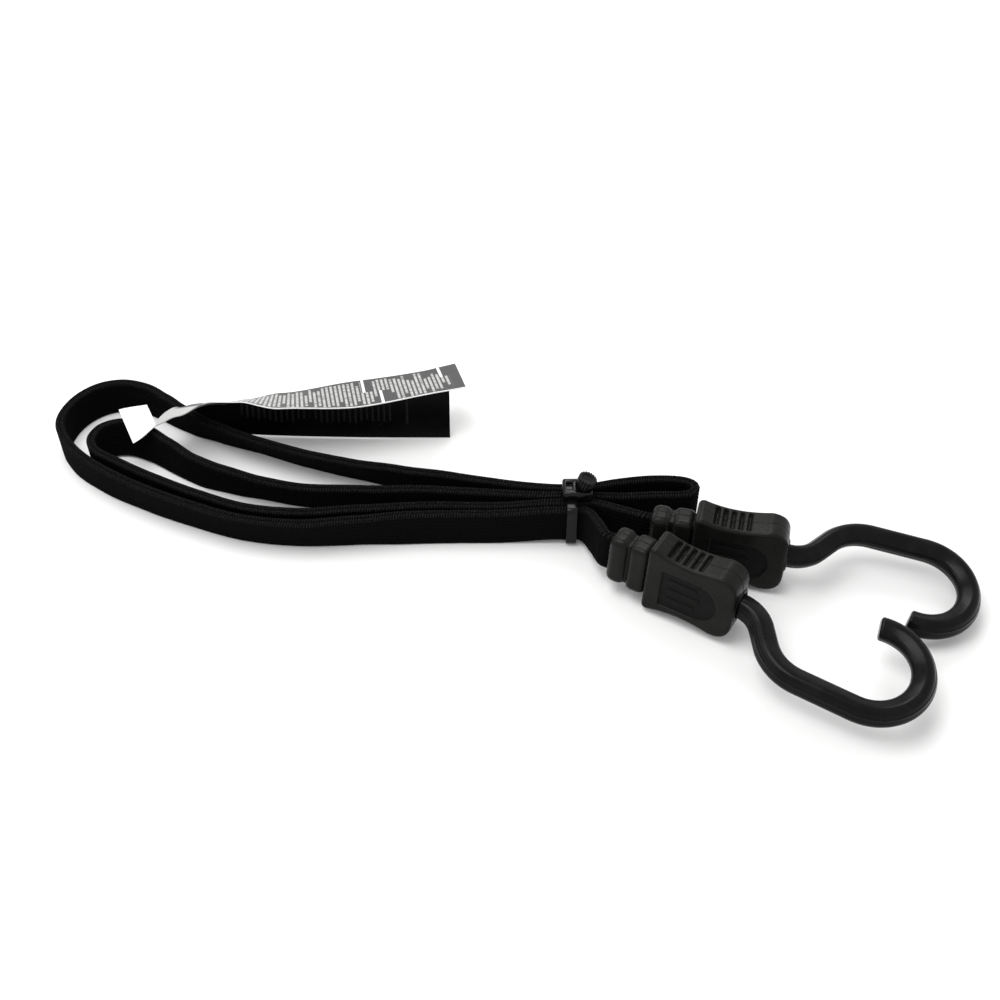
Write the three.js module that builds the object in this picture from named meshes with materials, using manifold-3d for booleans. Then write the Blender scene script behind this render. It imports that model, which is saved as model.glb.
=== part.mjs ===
// Flat elastic bungee cord, folded into a hank and tied, with a moulded grip and a coated hook at each end.
// Millimetres, +Z up. X runs along the hank towards the hooks. The strap stands on its edge on z = 0.
import * as THREE from "three";
import { mergeVertices } from "three/addons/utils/BufferGeometryUtils.js";
import Module from "manifold-3d";

// Driving dimensions
const CLEARANCE = 0.3; // between pieces that touch
const ORIGIN = [-3.52, -33.31]; // layout point that becomes the part's origin

const STRAP_WIDTH = 18;
const STRAP_THICKNESS = 4;
const STRAP_EDGE_BEVEL = 0.8;
const STRAP_STEPS = 170;
const TAIL_STEPS = 36;

const TIE_X = 31; // where the tie holds the four strands
const TIE_LIFT = 2; // the strands' lower edge there, over the band
const STRAND_PITCH = 4.6;
const BUNDLE_Y = -18.3;
const BAND_WIDTH = 4.6;
const BAND_THICKNESS = 1.3;
const BAND_CORNER = 2.6;

const LOCK_LENGTH = 13;
const LOCK_DEPTH = 10.4;
const LOCK_HEIGHT = 4.8;
const LOCK_ROUND = 1.6;
const LOCK_SHIFT = [2.4, 1.6]; // from the band's middle along X and Y
const KNOB_RADIUS = 4.1;
const KNOB_HEIGHT = 5.4;
const KNOB_RIDGES = 20;
const KNOB_RIDGE_DEPTH = 0.45;
const KNOB_TILT = 18; // degrees, towards +X
const KNOB_SHIFT = 3; // from the lock's middle along X
const STEM_RADIUS = 1.6;
const STEM_LENGTH = 2;

const GRIP_LENGTH = 39.2;
const GRIP_WIDTH = 32.8;
const GRIP_THICKNESS = 15;
const GRIP_WAIST = 2.2; // how far the finger waist dips in on each narrow side
const GRIP_NECK_CORNER = 2.6;
const GRIP_END_CORNER = 8.5;
const GRIP_BEVEL = 1.2;
const GROOVES = 5;
const GROOVE_PITCH = 3.4;
const GROOVE_WIDTH = 1.7;
const GROOVE_DEPTH = 1.1;
const GROOVE_RIM = 1.8; // plain rim left at each wide face
const PANEL_LENGTH = 25;
const PANEL_WIDTH = 18.5;
const PANEL_DEPTH = 0.8;
const PANEL_DROP = 1.5; // below the middle of the wide face
const BEAD_LENGTH = 9.4;
const BEAD_WIDTH = 23.6;
const BEAD_THICKNESS = 12.4;
const BEAD_ROUND = 2.8;
const NECK_WIDTH = 20.6;
const NECK_THICKNESS = 8.2;

const CLIP_LENGTH = 10;
const CLIP_WALL = 0.9;
const CLIP_REACH = 24; // from the hook end of the grip to the clip's open side

const WIRE = 9; // coated wire, a square with round corners
const WIRE_CORNER = 3.2;
const CORE_RADIUS = 3;
const CORE_SIDES = 10;
const HEAD_RADIUS = 4.7;
const HEAD_LENGTH = 2.4;
const WASHER_RADIUS = 5;
const WASHER_LENGTH = 1.2;
const COLLAR_DEPTH = 2; // the mouth that the coated wire runs in
const WEB_LENGTH = 3; // the wall that holds the hook's head
const HOOK_PLAY = 0.7; // room round the hook's shank, head and washer in the grip
// Hook centreline: straight, bend out, straight, bend back, straight run, U bend
const HOOK = {
  lead: 0.4,
  bend: 14.5,
  out: 54, // degrees
  slope: 8.2,
  shoulder: 20.8,
  back: 54.2, // degrees
  run: 22.9,
  bow: 19.6,
  turn: 193, // degrees
};

const LEAF_WIDTH = 22;
const LEAF_THICKNESS = 0.5;

// The hook ends: place of the hook's exit, and yaw, nose-down pitch and roll in degrees.
// The hook curls to the left of its axis with curl 1, and to the right with curl -1, hangs below
// the grip's axis by its droop and lies turned about its own by its twist.
const ENDS = {
  front: {
    exit: [96.45, -77.5, 17.6],
    yaw: -30.9,
    pitch: 0,
    roll: -5.5,
    curl: -1,
    droop: 2,
    twist: 12,
    strand: -1.5,
    bends: [[3.2, 0, 0], [6.6, -3.0, 0.9], [9.6, -11, 3.6]], // the tail's way, from where it leaves the tie
  },
  rear: {
    exit: [119.6, -49.25, 17.0],
    yaw: -13.9,
    pitch: 0,
    roll: -4.5,
    curl: 1,
    droop: 6,
    twist: 10,
    strand: -0.5,
    bends: [[3.2, 0, 0], [9, -1.4, 0.8], [20, -8.6, 4.0]],
  },
};

// The hank's route: x, y, lean towards -Y in degrees, lift of the lower edge over the floor.
const strandY = (row) => BUNDLE_Y + row * STRAND_PITCH;
const HANK = [
  // front strand, from the tie to the left
  [TIE_X, strandY(-1.5), 0, TIE_LIFT],
  [TIE_X - 9, strandY(-1.5), 0, TIE_LIFT],
  [0, -25.2, 0, 0],
  [-20, -25.4, 0, 0],
  [-40, -26.0, 0, 0],
  [-63, -27.8, 9, 0],
  [-87, -29.3, 14, 0],
  [-112, -26.0, 14, 0],
  [-135, -17.8, 13, 0],
  [-158, -7.4, 11, 0],
  [-180, 5.4, 7, 0],
  [-195.5, 19, 2, 0],
  // outer left loop
  [-203.5, 34, 0, 0],
  [-200.5, 49, 0, 0],
  [-191.5, 59, 0, 0],
  [-180, 62.2, 0, 0],
  [-168, 59, 0, 0],
  [-157, 51.5, 4, 0],
  [-146, 43.6, 13, 0],
  [-133, 36.5, 24, 0],
  [-110, 26.7, 32, 0],
  [-90, 18.5, 30, 0],
  [-67, 11.2, 27, 0],
  [-44, 5.2, 20, 0],
  [-20, -1, 9, 0],
  [0, -7, 2, 1],
  [TIE_X - 10, strandY(1.5) + 0.2, 0, TIE_LIFT],
  [TIE_X, strandY(1.5), 0, TIE_LIFT],
  // bight on the right of the tie
  [TIE_X + 9, -10.7, 0, TIE_LIFT],
  [52, -8, 0, TIE_LIFT],
  [67, -6, 0, TIE_LIFT],
  [80, -6.7, 0, TIE_LIFT],
  [84.2, -8.6, 0, TIE_LIFT],
  [85.4, -11.4, 0, TIE_LIFT],
  [83.7, -14.4, 0, TIE_LIFT],
  [79.5, -15.7, 0, TIE_LIFT],
  [67, -16, 0, TIE_LIFT],
  [53, -16.8, 0, TIE_LIFT],
  [TIE_X + 9, -16.3, 0, TIE_LIFT],
  [TIE_X, strandY(0.5), 0, TIE_LIFT],
  // inner rear strand and inner left loop
  [TIE_X - 10, strandY(0.5), 0, TIE_LIFT],
  [0, -13.6, 2, 1],
  [-30, -9.5, 8, 0],
  [-60, -8.2, 15, 0],
  [-88, -6, 20, 0],
  [-105, -1.8, 20, 0],
  [-122, 3.6, 12, 0],
  [-137, 10, 4, 0],
  [-151.5, 20.2, -6, 0],
  [-163, 28.2, -13, 0],
  [-174.5, 32.4, -16, 0],
  [-183, 29.6, -10, 0],
  [-186.6, 22.4, -3, 0],
  [-183.4, 15.8, 4, 0],
  // inner front strand, back to the tie
  [-174.3, 10, 7, 0],
  [-154.5, -0.8, 11, 0],
  [-132.5, -11.2, 13, 0],
  [-110.5, -19.4, 14, 0],
  [-87, -22.4, 14, 0],
  [-60, -21.1, 9, 0],
  [-30, -20.2, 0, 0],
  [0, -20.5, 0, 0],
  [TIE_X - 9, strandY(-0.5), 0, TIE_LIFT],
  [TIE_X, strandY(-0.5), 0, TIE_LIFT],
];

// The tag's two leaves: x and y of the film's middle, its height over the strap's top edge,
// and the direction of its width.
const UPPER_LEAF = [
  [-171.7, 28.9, 1.8, -0.52, 0.78, 0.33],
  [-159, 35, 3.2, -0.15, 0.95, 0],
  [-147, 37, 4.4, 0, 0.95, -0.3],
  [-130, 36.6, 8, 0, 0.72, -0.69],
  [-118, 36.8, 9.5, 0, 0.79, -0.61],
  [-100, 37.4, 9, 0, 0.93, -0.37],
  [-65, 43.5, 8, 0, 0.99, -0.12],
  [-35, 50.5, 8.8, -0.15, 0.96, -0.18],
  [-18.5, 55, 9.4, -0.29, 0.93, -0.14],
];
const LOWER_LEAF = [
  [-23.7, 45.6, -5.5, 0, 0.34, 0.94],
  [-68, 45.8, -5.5, 0, 0.34, 0.94],
  [-112, 47.4, -5.5, 0, 0.34, 0.94],
  [-138, 50, -5.5, 0, 0.34, 0.94],
];

const wasm = await Module();
wasm.setup();

const radians = THREE.MathUtils.degToRad;
const vec = (x, y, z = 0) => new THREE.Vector3(x, y, z);

// Finishes
function finish(color, roughness, metalness = 0) {
  return new THREE.MeshStandardMaterial({ color, roughness, metalness });
}
const webbing = finish(0x17181a, 0.9);
const gripPlastic = finish(0x1b1c1d, 0.55);
const coating = finish(0x1d1d1e, 0.5);
const steel = finish(0xa6a8aa, 0.35, 1);
const tiePlastic = finish(0x121212, 0.3);
const film = finish(0x2a2a2c, 0.4);

// Solids
function solidOf(geometry) {
  const bare = new THREE.BufferGeometry();
  bare.setAttribute("position", geometry.getAttribute("position"));
  if (geometry.index) bare.setIndex(geometry.index);
  const merged = mergeVertices(bare, 1e-4);
  const vertProperties = merged.getAttribute("position").array;
  const triVerts = new Uint32Array(merged.index.array);
  return new wasm.Manifold(new wasm.Mesh({ numProp: 3, vertProperties, triVerts }));
}

function geometryOf(solid) {
  const { vertProperties, triVerts } = solid.getMesh();
  const geometry = new THREE.BufferGeometry();
  geometry.setAttribute("position", new THREE.BufferAttribute(vertProperties, 3));
  geometry.setIndex(new THREE.BufferAttribute(triVerts, 1));
  geometry.computeVertexNormals();
  return geometry;
}

function addMesh(group, name, geometry, material) {
  const mesh = new THREE.Mesh(geometry, material);
  mesh.name = name;
  group.add(mesh);
  return mesh;
}

// A box between two corners.
function boxSolid(low, high) {
  const size = high.map((value, i) => value - low[i]);
  const geometry = new THREE.BoxGeometry(...size);
  geometry.translate(...low.map((value, i) => value + size[i] / 2));
  return solidOf(geometry);
}

// A round bar along X.
function barSolid(radius, from, to, sides = 20) {
  const geometry = new THREE.CylinderGeometry(radius, radius, to - from, sides);
  geometry.rotateZ(-Math.PI / 2);
  geometry.translate((from + to) / 2, 0, 0);
  return solidOf(geometry);
}

// A shape drawn in X and Z, extruded through the thickness about y = 0.
function plateGeometry(shape, thickness, bevel = 0) {
  const geometry = new THREE.ExtrudeGeometry(shape, {
    depth: thickness - 2 * bevel,
    bevelEnabled: bevel > 0,
    bevelThickness: bevel,
    bevelSize: bevel,
    bevelOffset: -bevel,
    bevelSegments: 2,
    curveSegments: 6,
  });
  geometry.translate(0, 0, bevel - thickness / 2);
  geometry.rotateX(Math.PI / 2);
  return geometry;
}

// A closed skin over rings of points, with a flat cap at each end.
function loft(rings) {
  const sides = rings[0].length;
  const position = rings.flat().flatMap((p) => [p.x, p.y, p.z]);
  const index = [];
  for (let i = 0; i + 1 < rings.length; i += 1) {
    for (let k = 0; k < sides; k += 1) {
      const a = i * sides + k;
      const b = i * sides + ((k + 1) % sides);
      index.push(a, b, b + sides, a, b + sides, a + sides);
    }
  }
  const last = (rings.length - 1) * sides;
  for (let k = 1; k + 1 < sides; k += 1) {
    index.push(0, k + 1, k);
    index.push(last, last + k, last + k + 1);
  }
  const geometry = new THREE.BufferGeometry();
  geometry.setAttribute("position", new THREE.Float32BufferAttribute(position, 3));
  geometry.setIndex(index);
  geometry.computeVertexNormals();
  return geometry;
}

// A flat section with bevelled edges, as pairs across the thickness and along the width.
function flatSection(width, thickness, bevel) {
  const w = width / 2;
  const t = thickness / 2;
  return [
    [t, w - bevel],
    [t - bevel, w],
    [bevel - t, w],
    [-t, w - bevel],
    [-t, bevel - w],
    [bevel - t, -w],
    [t - bevel, -w],
    [t, bevel - w],
  ];
}

// A ring of the section at a frame of point, tangent and width direction.
function ringAt({ point, tangent, across }, section) {
  const width = across.clone().addScaledVector(tangent, -across.dot(tangent)).normalize();
  const normal = tangent.clone().cross(width);
  return section.map(([n, w]) => point.clone().addScaledVector(normal, -n).addScaledVector(width, w));
}

// Frames at even steps along a smooth curve, with the width direction eased between the given ones.
function framesAlong(points, acrosses, steps) {
  const curve = new THREE.CatmullRomCurve3(points);
  return Array.from({ length: steps + 1 }, (_, i) => {
    const t = curve.getUtoTmapping(i / steps);
    const at = Math.min(t * (points.length - 1), points.length - 1.000001);
    const k = Math.floor(at);
    const eased = THREE.MathUtils.smoothstep(at - k, 0, 1);
    const across = acrosses[k].clone().lerp(acrosses[k + 1], eased).normalize();
    return { point: curve.getPoint(t), tangent: curve.getTangent(t), across };
  });
}

// The strap standing on edge: its middle rises with the lift and sinks with the lean.
function strapPoint([x, y, lean, lift]) {
  const a = radians(lean);
  const half = (STRAP_WIDTH * Math.cos(a) + STRAP_THICKNESS * Math.abs(Math.sin(a))) / 2;
  return vec(x, y, lift + half);
}
const strapAcross = ([, , lean]) => vec(0, -Math.sin(radians(lean)), Math.cos(radians(lean)));
const strapSection = flatSection(STRAP_WIDTH, STRAP_THICKNESS, STRAP_EDGE_BEVEL);

// A ring of the strap, flattened where it meets the floor.
function strapRing(frame) {
  const ring = ringAt(frame, strapSection);
  ring.forEach((corner) => corner.setZ(Math.max(0, corner.z)));
  return ring;
}

// The least gap between stretches of the strap that lie apart along it: points of one stretch, taken finely,
// against the thickness and width of the other.
function leastGap(frames, spacing) {
  const apart = Math.ceil((1.5 * STRAP_WIDTH) / spacing);
  const flats = frames.map((frame) => ({ ...frame, ring: ringAt(frame, strapSection) }));
  let least = Infinity;
  flats.forEach((one, i) => {
    flats.forEach((other, j) => {
      if (Math.abs(i - j) < apart || one.point.distanceTo(other.point) > STRAP_WIDTH) return;
      const normal = other.tangent.clone().cross(other.across).normalize();
      for (const corner of one.ring) {
        const away = corner.clone().sub(other.point);
        if (Math.abs(away.dot(other.tangent)) > spacing / 2) continue;
        const through = Math.abs(away.dot(normal)) - STRAP_THICKNESS / 2;
        const past = Math.abs(away.dot(other.across)) - STRAP_WIDTH / 2;
        least = Math.min(least, Math.max(through, past));
      }
    });
  });
  return least;
}

const root = new THREE.Group();
const layout = new THREE.Group();
layout.position.set(-ORIGIN[0], -ORIGIN[1], 0);
root.add(layout);

// The hank: one unbroken strap from the tie, round both loops and the bight, back to the tie
const hankFrames = framesAlong(HANK.map(strapPoint), HANK.map(strapAcross), STRAP_STEPS);
hankFrames[0].tangent.set(-1, 0, 0);
hankFrames.at(-1).tangent.set(1, 0, 0);
addMesh(layout, "strap_hank", loft(hankFrames.map(strapRing)), webbing);

const fineFrames = framesAlong(HANK.map(strapPoint), HANK.map(strapAcross), 4 * STRAP_STEPS);
const fineSteps = fineFrames.slice(1).map(({ point }, i) => point.distanceTo(fineFrames[i].point));
const hankLength = fineSteps.reduce((sum, step) => sum + step);
console.log("strap_hank length, mm:", hankLength.toFixed(0));
console.log("least gap to itself, mm:", leastGap(fineFrames, hankLength / fineSteps.length).toFixed(2));

// The tie: a band round the four strands, a lock body on its top run and a ridged knob in the lock
const bundleHalf = 1.5 * STRAND_PITCH + STRAP_THICKNESS / 2 + CLEARANCE;
const bandLow = TIE_LIFT - CLEARANCE;
const bandHigh = TIE_LIFT + STRAP_WIDTH + CLEARANCE;

function roundedRectangle(path, x0, y0, x1, y1, r) {
  path.moveTo(x0 + r, y0);
  path.lineTo(x1 - r, y0);
  path.absarc(x1 - r, y0 + r, r, -Math.PI / 2, 0);
  path.lineTo(x1, y1 - r);
  path.absarc(x1 - r, y1 - r, r, 0, Math.PI / 2);
  path.lineTo(x0 + r, y1);
  path.absarc(x0 + r, y1 - r, r, Math.PI / 2, Math.PI);
  path.lineTo(x0, y0 + r);
  path.absarc(x0 + r, y0 + r, r, Math.PI, 1.5 * Math.PI);
  return path;
}

function makeBand() {
  const t = BAND_THICKNESS;
  const inner = BAND_CORNER - t;
  const side = bundleHalf + t;
  const shape = roundedRectangle(new THREE.Shape(), -side, bandLow - t, side, bandHigh + t, BAND_CORNER);
  shape.holes.push(roundedRectangle(new THREE.Path(), -bundleHalf, bandLow, bundleHalf, bandHigh, inner));
  const extrusion = { depth: BAND_WIDTH, bevelEnabled: false, curveSegments: 4 };
  const geometry = new THREE.ExtrudeGeometry(shape, extrusion);
  geometry.translate(0, 0, -BAND_WIDTH / 2);
  geometry.rotateX(Math.PI / 2);
  geometry.rotateZ(Math.PI / 2);
  geometry.translate(TIE_X, BUNDLE_Y, 0);
  return geometry;
}
addMesh(layout, "tie_band", makeBand(), tiePlastic);

const lockPlace = vec(TIE_X + LOCK_SHIFT[0], BUNDLE_Y + LOCK_SHIFT[1], bandHigh + CLEARANCE);
const knobPlace = vec(lockPlace.x + KNOB_SHIFT, lockPlace.y, lockPlace.z + LOCK_HEIGHT + CLEARANCE);

// A bar along the knob's tilted axis, from below its seat to above it.
function knobBar(radius, from, to) {
  const geometry = new THREE.CylinderGeometry(radius, radius, to - from, 16);
  geometry.rotateX(Math.PI / 2);
  geometry.translate(0, 0, (from + to) / 2);
  geometry.rotateY(radians(KNOB_TILT));
  geometry.translate(knobPlace.x, knobPlace.y, knobPlace.z);
  return solidOf(geometry);
}

function makeLock() {
  const long = LOCK_LENGTH / 2;
  const outline = roundedRectangle(new THREE.Shape(), -long, 0, long, LOCK_HEIGHT, LOCK_ROUND);
  const geometry = plateGeometry(outline, LOCK_DEPTH, LOCK_ROUND / 2);
  geometry.translate(lockPlace.x, lockPlace.y, lockPlace.z);
  const half = BAND_WIDTH / 2 + CLEARANCE;
  const roof = bandHigh + BAND_THICKNESS + CLEARANCE;
  const channel = boxSolid(
    [TIE_X - half, lockPlace.y - LOCK_DEPTH, bandLow],
    [TIE_X + half, lockPlace.y + LOCK_DEPTH, roof],
  );
  const seat = knobBar(KNOB_RADIUS + CLEARANCE, -LOCK_HEIGHT / 4, LOCK_HEIGHT);
  const socket = knobBar(STEM_RADIUS + CLEARANCE, -STEM_LENGTH - LOCK_HEIGHT / 4 - CLEARANCE, 0);
  return geometryOf(solidOf(geometry).subtract(channel).subtract(seat).subtract(socket));
}
addMesh(layout, "tie_lock", makeLock(), tiePlastic);

function makeKnob() {
  const ridges = new THREE.Shape();
  for (let i = 0; i < 2 * KNOB_RIDGES; i += 1) {
    const angle = (i * Math.PI) / KNOB_RIDGES;
    const radius = KNOB_RADIUS - (i % 2) * KNOB_RIDGE_DEPTH;
    ridges[i ? "lineTo" : "moveTo"](radius * Math.cos(angle), radius * Math.sin(angle));
  }
  const cap = new THREE.ExtrudeGeometry(ridges, { depth: KNOB_HEIGHT, bevelEnabled: false });
  cap.translate(0, 0, CLEARANCE - LOCK_HEIGHT / 4);
  cap.rotateY(radians(KNOB_TILT));
  cap.translate(knobPlace.x, knobPlace.y, knobPlace.z);
  return geometryOf(solidOf(cap).add(knobBar(STEM_RADIUS, -STEM_LENGTH - LOCK_HEIGHT / 4, 0)));
}
addMesh(layout, "tie_knob", makeKnob(), tiePlastic);

// The tag: two film leaves that lie over and behind the rear strand
function makeLeaf(rows, steps) {
  const section = [
    [LEAF_THICKNESS / 2, LEAF_WIDTH / 2],
    [-LEAF_THICKNESS / 2, LEAF_WIDTH / 2],
    [-LEAF_THICKNESS / 2, -LEAF_WIDTH / 2],
    [LEAF_THICKNESS / 2, -LEAF_WIDTH / 2],
  ];
  const points = rows.map(([x, y, over]) => vec(x, y, STRAP_WIDTH + over));
  const acrosses = rows.map(([, , , x, y, z]) => vec(x, y, z));
  return loft(framesAlong(points, acrosses, steps).map((frame) => ringAt(frame, section)));
}
addMesh(layout, "tag_upper_leaf", makeLeaf(UPPER_LEAF, 40), film);
addMesh(layout, "tag_lower_leaf", makeLeaf(LOWER_LEAF, 8), film);

// A grip in its own frame: X along the strap with 0 at the hook end, Z across the width,
// Y through the thickness
const slotWidth = STRAP_WIDTH + 2 * CLEARANCE;
const slotThickness = STRAP_THICKNESS + 2 * CLEARANCE;
const clipWidth = slotWidth + 2 * CLIP_WALL;
const clipThickness = slotThickness + 2 * CLIP_WALL;
const headEnd = -COLLAR_DEPTH - WEB_LENGTH; // the web's inner face
const washerEnd = headEnd - HOOK_PLAY - WASHER_LENGTH;
const headFar = washerEnd - CLEARANCE - HEAD_LENGTH;
const wireReach = (WIRE / 2 - WIRE_CORNER) * Math.SQRT2 + WIRE_CORNER;

function gripOutline() {
  const half = GRIP_WIDTH / 2;
  const far = half - GRIP_WAIST / 3;
  const straight = GRIP_END_CORNER;
  const middle = (-GRIP_LENGTH - straight) / 2;
  const shape = new THREE.Shape();
  shape.moveTo(-GRIP_LENGTH, 0);
  shape.lineTo(-GRIP_LENGTH, half - GRIP_NECK_CORNER);
  shape.quadraticCurveTo(-GRIP_LENGTH, half, GRIP_NECK_CORNER - GRIP_LENGTH, half);
  shape.quadraticCurveTo(middle, half - 2 * GRIP_WAIST, -straight, far);
  shape.quadraticCurveTo(0, far, 0, far - straight);
  shape.lineTo(0, straight - far);
  shape.quadraticCurveTo(0, -far, -straight, -far);
  shape.quadraticCurveTo(middle, 2 * GRIP_WAIST - half, GRIP_NECK_CORNER - GRIP_LENGTH, -half);
  shape.quadraticCurveTo(-GRIP_LENGTH, -half, -GRIP_LENGTH, GRIP_NECK_CORNER - half);
  shape.closePath();
  return shape;
}

function panelOutline() {
  const half = PANEL_WIDTH / 2;
  const left = -GRIP_LENGTH + (GRIP_WIDTH - PANEL_WIDTH) / 2;
  const shape = new THREE.Shape();
  shape.moveTo(left, -half);
  shape.lineTo(left + PANEL_LENGTH - half, -half);
  shape.absarc(left + PANEL_LENGTH - half, 0, half, -Math.PI / 2, Math.PI / 2);
  shape.lineTo(left, half);
  shape.closePath();
  return shape;
}

function makeGrip() {
  let body = solidOf(plateGeometry(gripOutline(), GRIP_THICKNESS, GRIP_BEVEL));
  // two beads and the neck that joins them to the block
  for (let i = 0; i < 2; i += 1) {
    const right = -GRIP_LENGTH - i * BEAD_LENGTH - CLEARANCE;
    const left = right - BEAD_LENGTH + 2 * CLEARANCE;
    const half = BEAD_WIDTH / 2;
    const outline = roundedRectangle(new THREE.Shape(), left, -half, right, half, BEAD_ROUND);
    body = body.add(solidOf(plateGeometry(outline, BEAD_THICKNESS, BEAD_ROUND * 0.9)));
  }
  const neckEnd = -GRIP_LENGTH - 2 * BEAD_LENGTH + BEAD_LENGTH / 2;
  const neck = boxSolid(
    [neckEnd, -NECK_THICKNESS / 2, -NECK_WIDTH / 2],
    [1 - GRIP_LENGTH, NECK_THICKNESS / 2, NECK_WIDTH / 2],
  );
  body = body.add(neck);
  // finger grooves across both narrow sides, inside the rims
  const middle = (-GRIP_LENGTH - GRIP_END_CORNER) / 2;
  const rim = GRIP_THICKNESS / 2 - GROOVE_RIM;
  for (let i = 0; i < GROOVES; i += 1) {
    const x = middle + (i - (GROOVES - 1) / 2) * GROOVE_PITCH;
    const along = (x - middle) / (GRIP_LENGTH - GRIP_END_CORNER);
    const floor = GRIP_WIDTH / 2 - GRIP_WAIST * (1 - 4 * along * along) - GROOVE_DEPTH;
    for (const side of [-1, 1]) {
      const low = Math.min(side * floor, side * GRIP_WIDTH);
      const high = Math.max(side * floor, side * GRIP_WIDTH);
      body = body.subtract(boxSolid([x - GROOVE_WIDTH / 2, -rim, low], [x + GROOVE_WIDTH / 2, rim, high]));
    }
  }
  // the sunk panel on each wide face
  for (const side of [-1, 1]) {
    const panel = plateGeometry(panelOutline(), 2 * PANEL_DEPTH);
    panel.translate(0, (side * GRIP_THICKNESS) / 2, -PANEL_DROP);
    body = body.subtract(solidOf(panel));
  }
  // inside: the strap's slot, the clip's pocket, the hook head's pocket, its web and the mouth
  const clipFar = CLIP_LENGTH - CLIP_REACH + CLEARANCE;
  const hollows = [
    boxSolid(
      [-GRIP_LENGTH - 3 * BEAD_LENGTH, -slotThickness / 2, -slotWidth / 2],
      [clipFar, slotThickness / 2, slotWidth / 2],
    ),
    boxSolid(
      [-CLIP_REACH - CLEARANCE, -clipThickness / 2 - CLEARANCE, -clipWidth / 2 - CLEARANCE],
      [clipFar, clipThickness / 2 + CLEARANCE, clipWidth / 2 + CLEARANCE],
    ),
    barSolid(WASHER_RADIUS + HOOK_PLAY, headFar - HOOK_PLAY, headEnd),
    barSolid(CORE_RADIUS + HOOK_PLAY, headEnd - HOOK_PLAY, 0),
    barSolid(wireReach + HOOK_PLAY, -COLLAR_DEPTH, GRIP_END_CORNER),
  ];
  return hollows.reduce((solid, hollow) => solid.subtract(hollow), body);
}

// One half of the grip, on the side of the wide face that the sign names.
function makeShell(grip, side) {
  const far = 2 * GRIP_WIDTH;
  const near = CLEARANCE / 2;
  const low = [-3 * GRIP_LENGTH, side < 0 ? -far : near, -far];
  const high = [GRIP_LENGTH, side < 0 ? -near : far, far];
  return geometryOf(grip.intersect(boxSolid(low, high)));
}

// The steel clip that is pressed on the strap's end: a folded channel, open towards the tie
function makeClip() {
  const solid = boxSolid(
    [-CLIP_REACH, -clipThickness / 2, -clipWidth / 2],
    [CLIP_LENGTH - CLIP_REACH, clipThickness / 2, clipWidth / 2],
  );
  const slot = boxSolid(
    [-CLIP_REACH - CLIP_WALL, -slotThickness / 2, -slotWidth / 2],
    [CLIP_LENGTH - CLIP_REACH - CLIP_WALL, slotThickness / 2, slotWidth / 2],
  );
  return geometryOf(solid.subtract(slot));
}

// The hook's centreline in its own plane, as points with headings.
function hookLine(curl) {
  const stations = [{ x: 0, y: 0, heading: 0 }];
  let at = stations[0];
  const straight = (length) => {
    const { heading } = at;
    at = { x: at.x + length * Math.cos(heading), y: at.y + length * Math.sin(heading), heading };
    stations.push(at);
  };
  const arc = (radius, degrees, steps) => {
    const turn = radians(degrees) * curl;
    const side = Math.sign(turn);
    const start = at;
    const reach = radius * side;
    const centre = [start.x - reach * Math.sin(start.heading), start.y + reach * Math.cos(start.heading)];
    for (let i = 1; i <= steps; i += 1) {
      const heading = start.heading + (turn * i) / steps;
      const x = centre[0] + reach * Math.sin(heading);
      const y = centre[1] - reach * Math.cos(heading);
      at = { x, y, heading };
      stations.push(at);
    }
  };
  straight(HOOK.lead);
  arc(HOOK.bend, HOOK.out, 5);
  straight(HOOK.slope);
  arc(HOOK.shoulder, -HOOK.back, 6);
  straight(HOOK.run);
  arc(HOOK.bow, -HOOK.turn, 14);
  return stations;
}

// A tube along the hook's centreline, which can start before the exit and stop short of the tip.
function hookTube(curl, section, before, short) {
  const stations = hookLine(curl);
  const tip = stations.at(-1);
  stations[0] = { x: -before, y: 0, heading: 0 };
  tip.x -= short * Math.cos(tip.heading);
  tip.y -= short * Math.sin(tip.heading);
  const frames = stations.map(({ x, y, heading }) => ({
    point: vec(x, y),
    tangent: vec(Math.cos(heading), Math.sin(heading)),
    across: vec(0, 0, 1),
  }));
  return loft(frames.map((frame) => ringAt(frame, section)));
}

function roundSection(radius, sides) {
  return Array.from({ length: sides }, (_, i) => {
    const angle = (2 * Math.PI * (i + 0.5)) / sides;
    return [radius * Math.cos(angle), radius * Math.sin(angle)];
  });
}

const wireSection = flatSection(WIRE, WIRE, WIRE_CORNER * 0.75);
const tipWall = CORE_RADIUS;

// The bent steel wire with its upset head
function makeCore(curl) {
  const wire = hookTube(curl, roundSection(CORE_RADIUS, CORE_SIDES), -headFar, tipWall + CLEARANCE);
  return geometryOf(solidOf(wire).add(barSolid(HEAD_RADIUS, headFar, headFar + HEAD_LENGTH)));
}

// The plastic coat over the wire, closed at the tip
function makeCoat(curl) {
  const outer = solidOf(hookTube(curl, wireSection, COLLAR_DEPTH - HOOK_PLAY, 0));
  const boreSection = roundSection(CORE_RADIUS + CLEARANCE, CORE_SIDES);
  const bore = solidOf(hookTube(curl, boreSection, 2 * COLLAR_DEPTH, tipWall));
  return geometryOf(outer.subtract(bore));
}

function makeWasher() {
  const disc = barSolid(WASHER_RADIUS, washerEnd, washerEnd + WASHER_LENGTH);
  return geometryOf(disc.subtract(barSolid(CORE_RADIUS + CLEARANCE, washerEnd - 1, headEnd + 1)));
}

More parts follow.
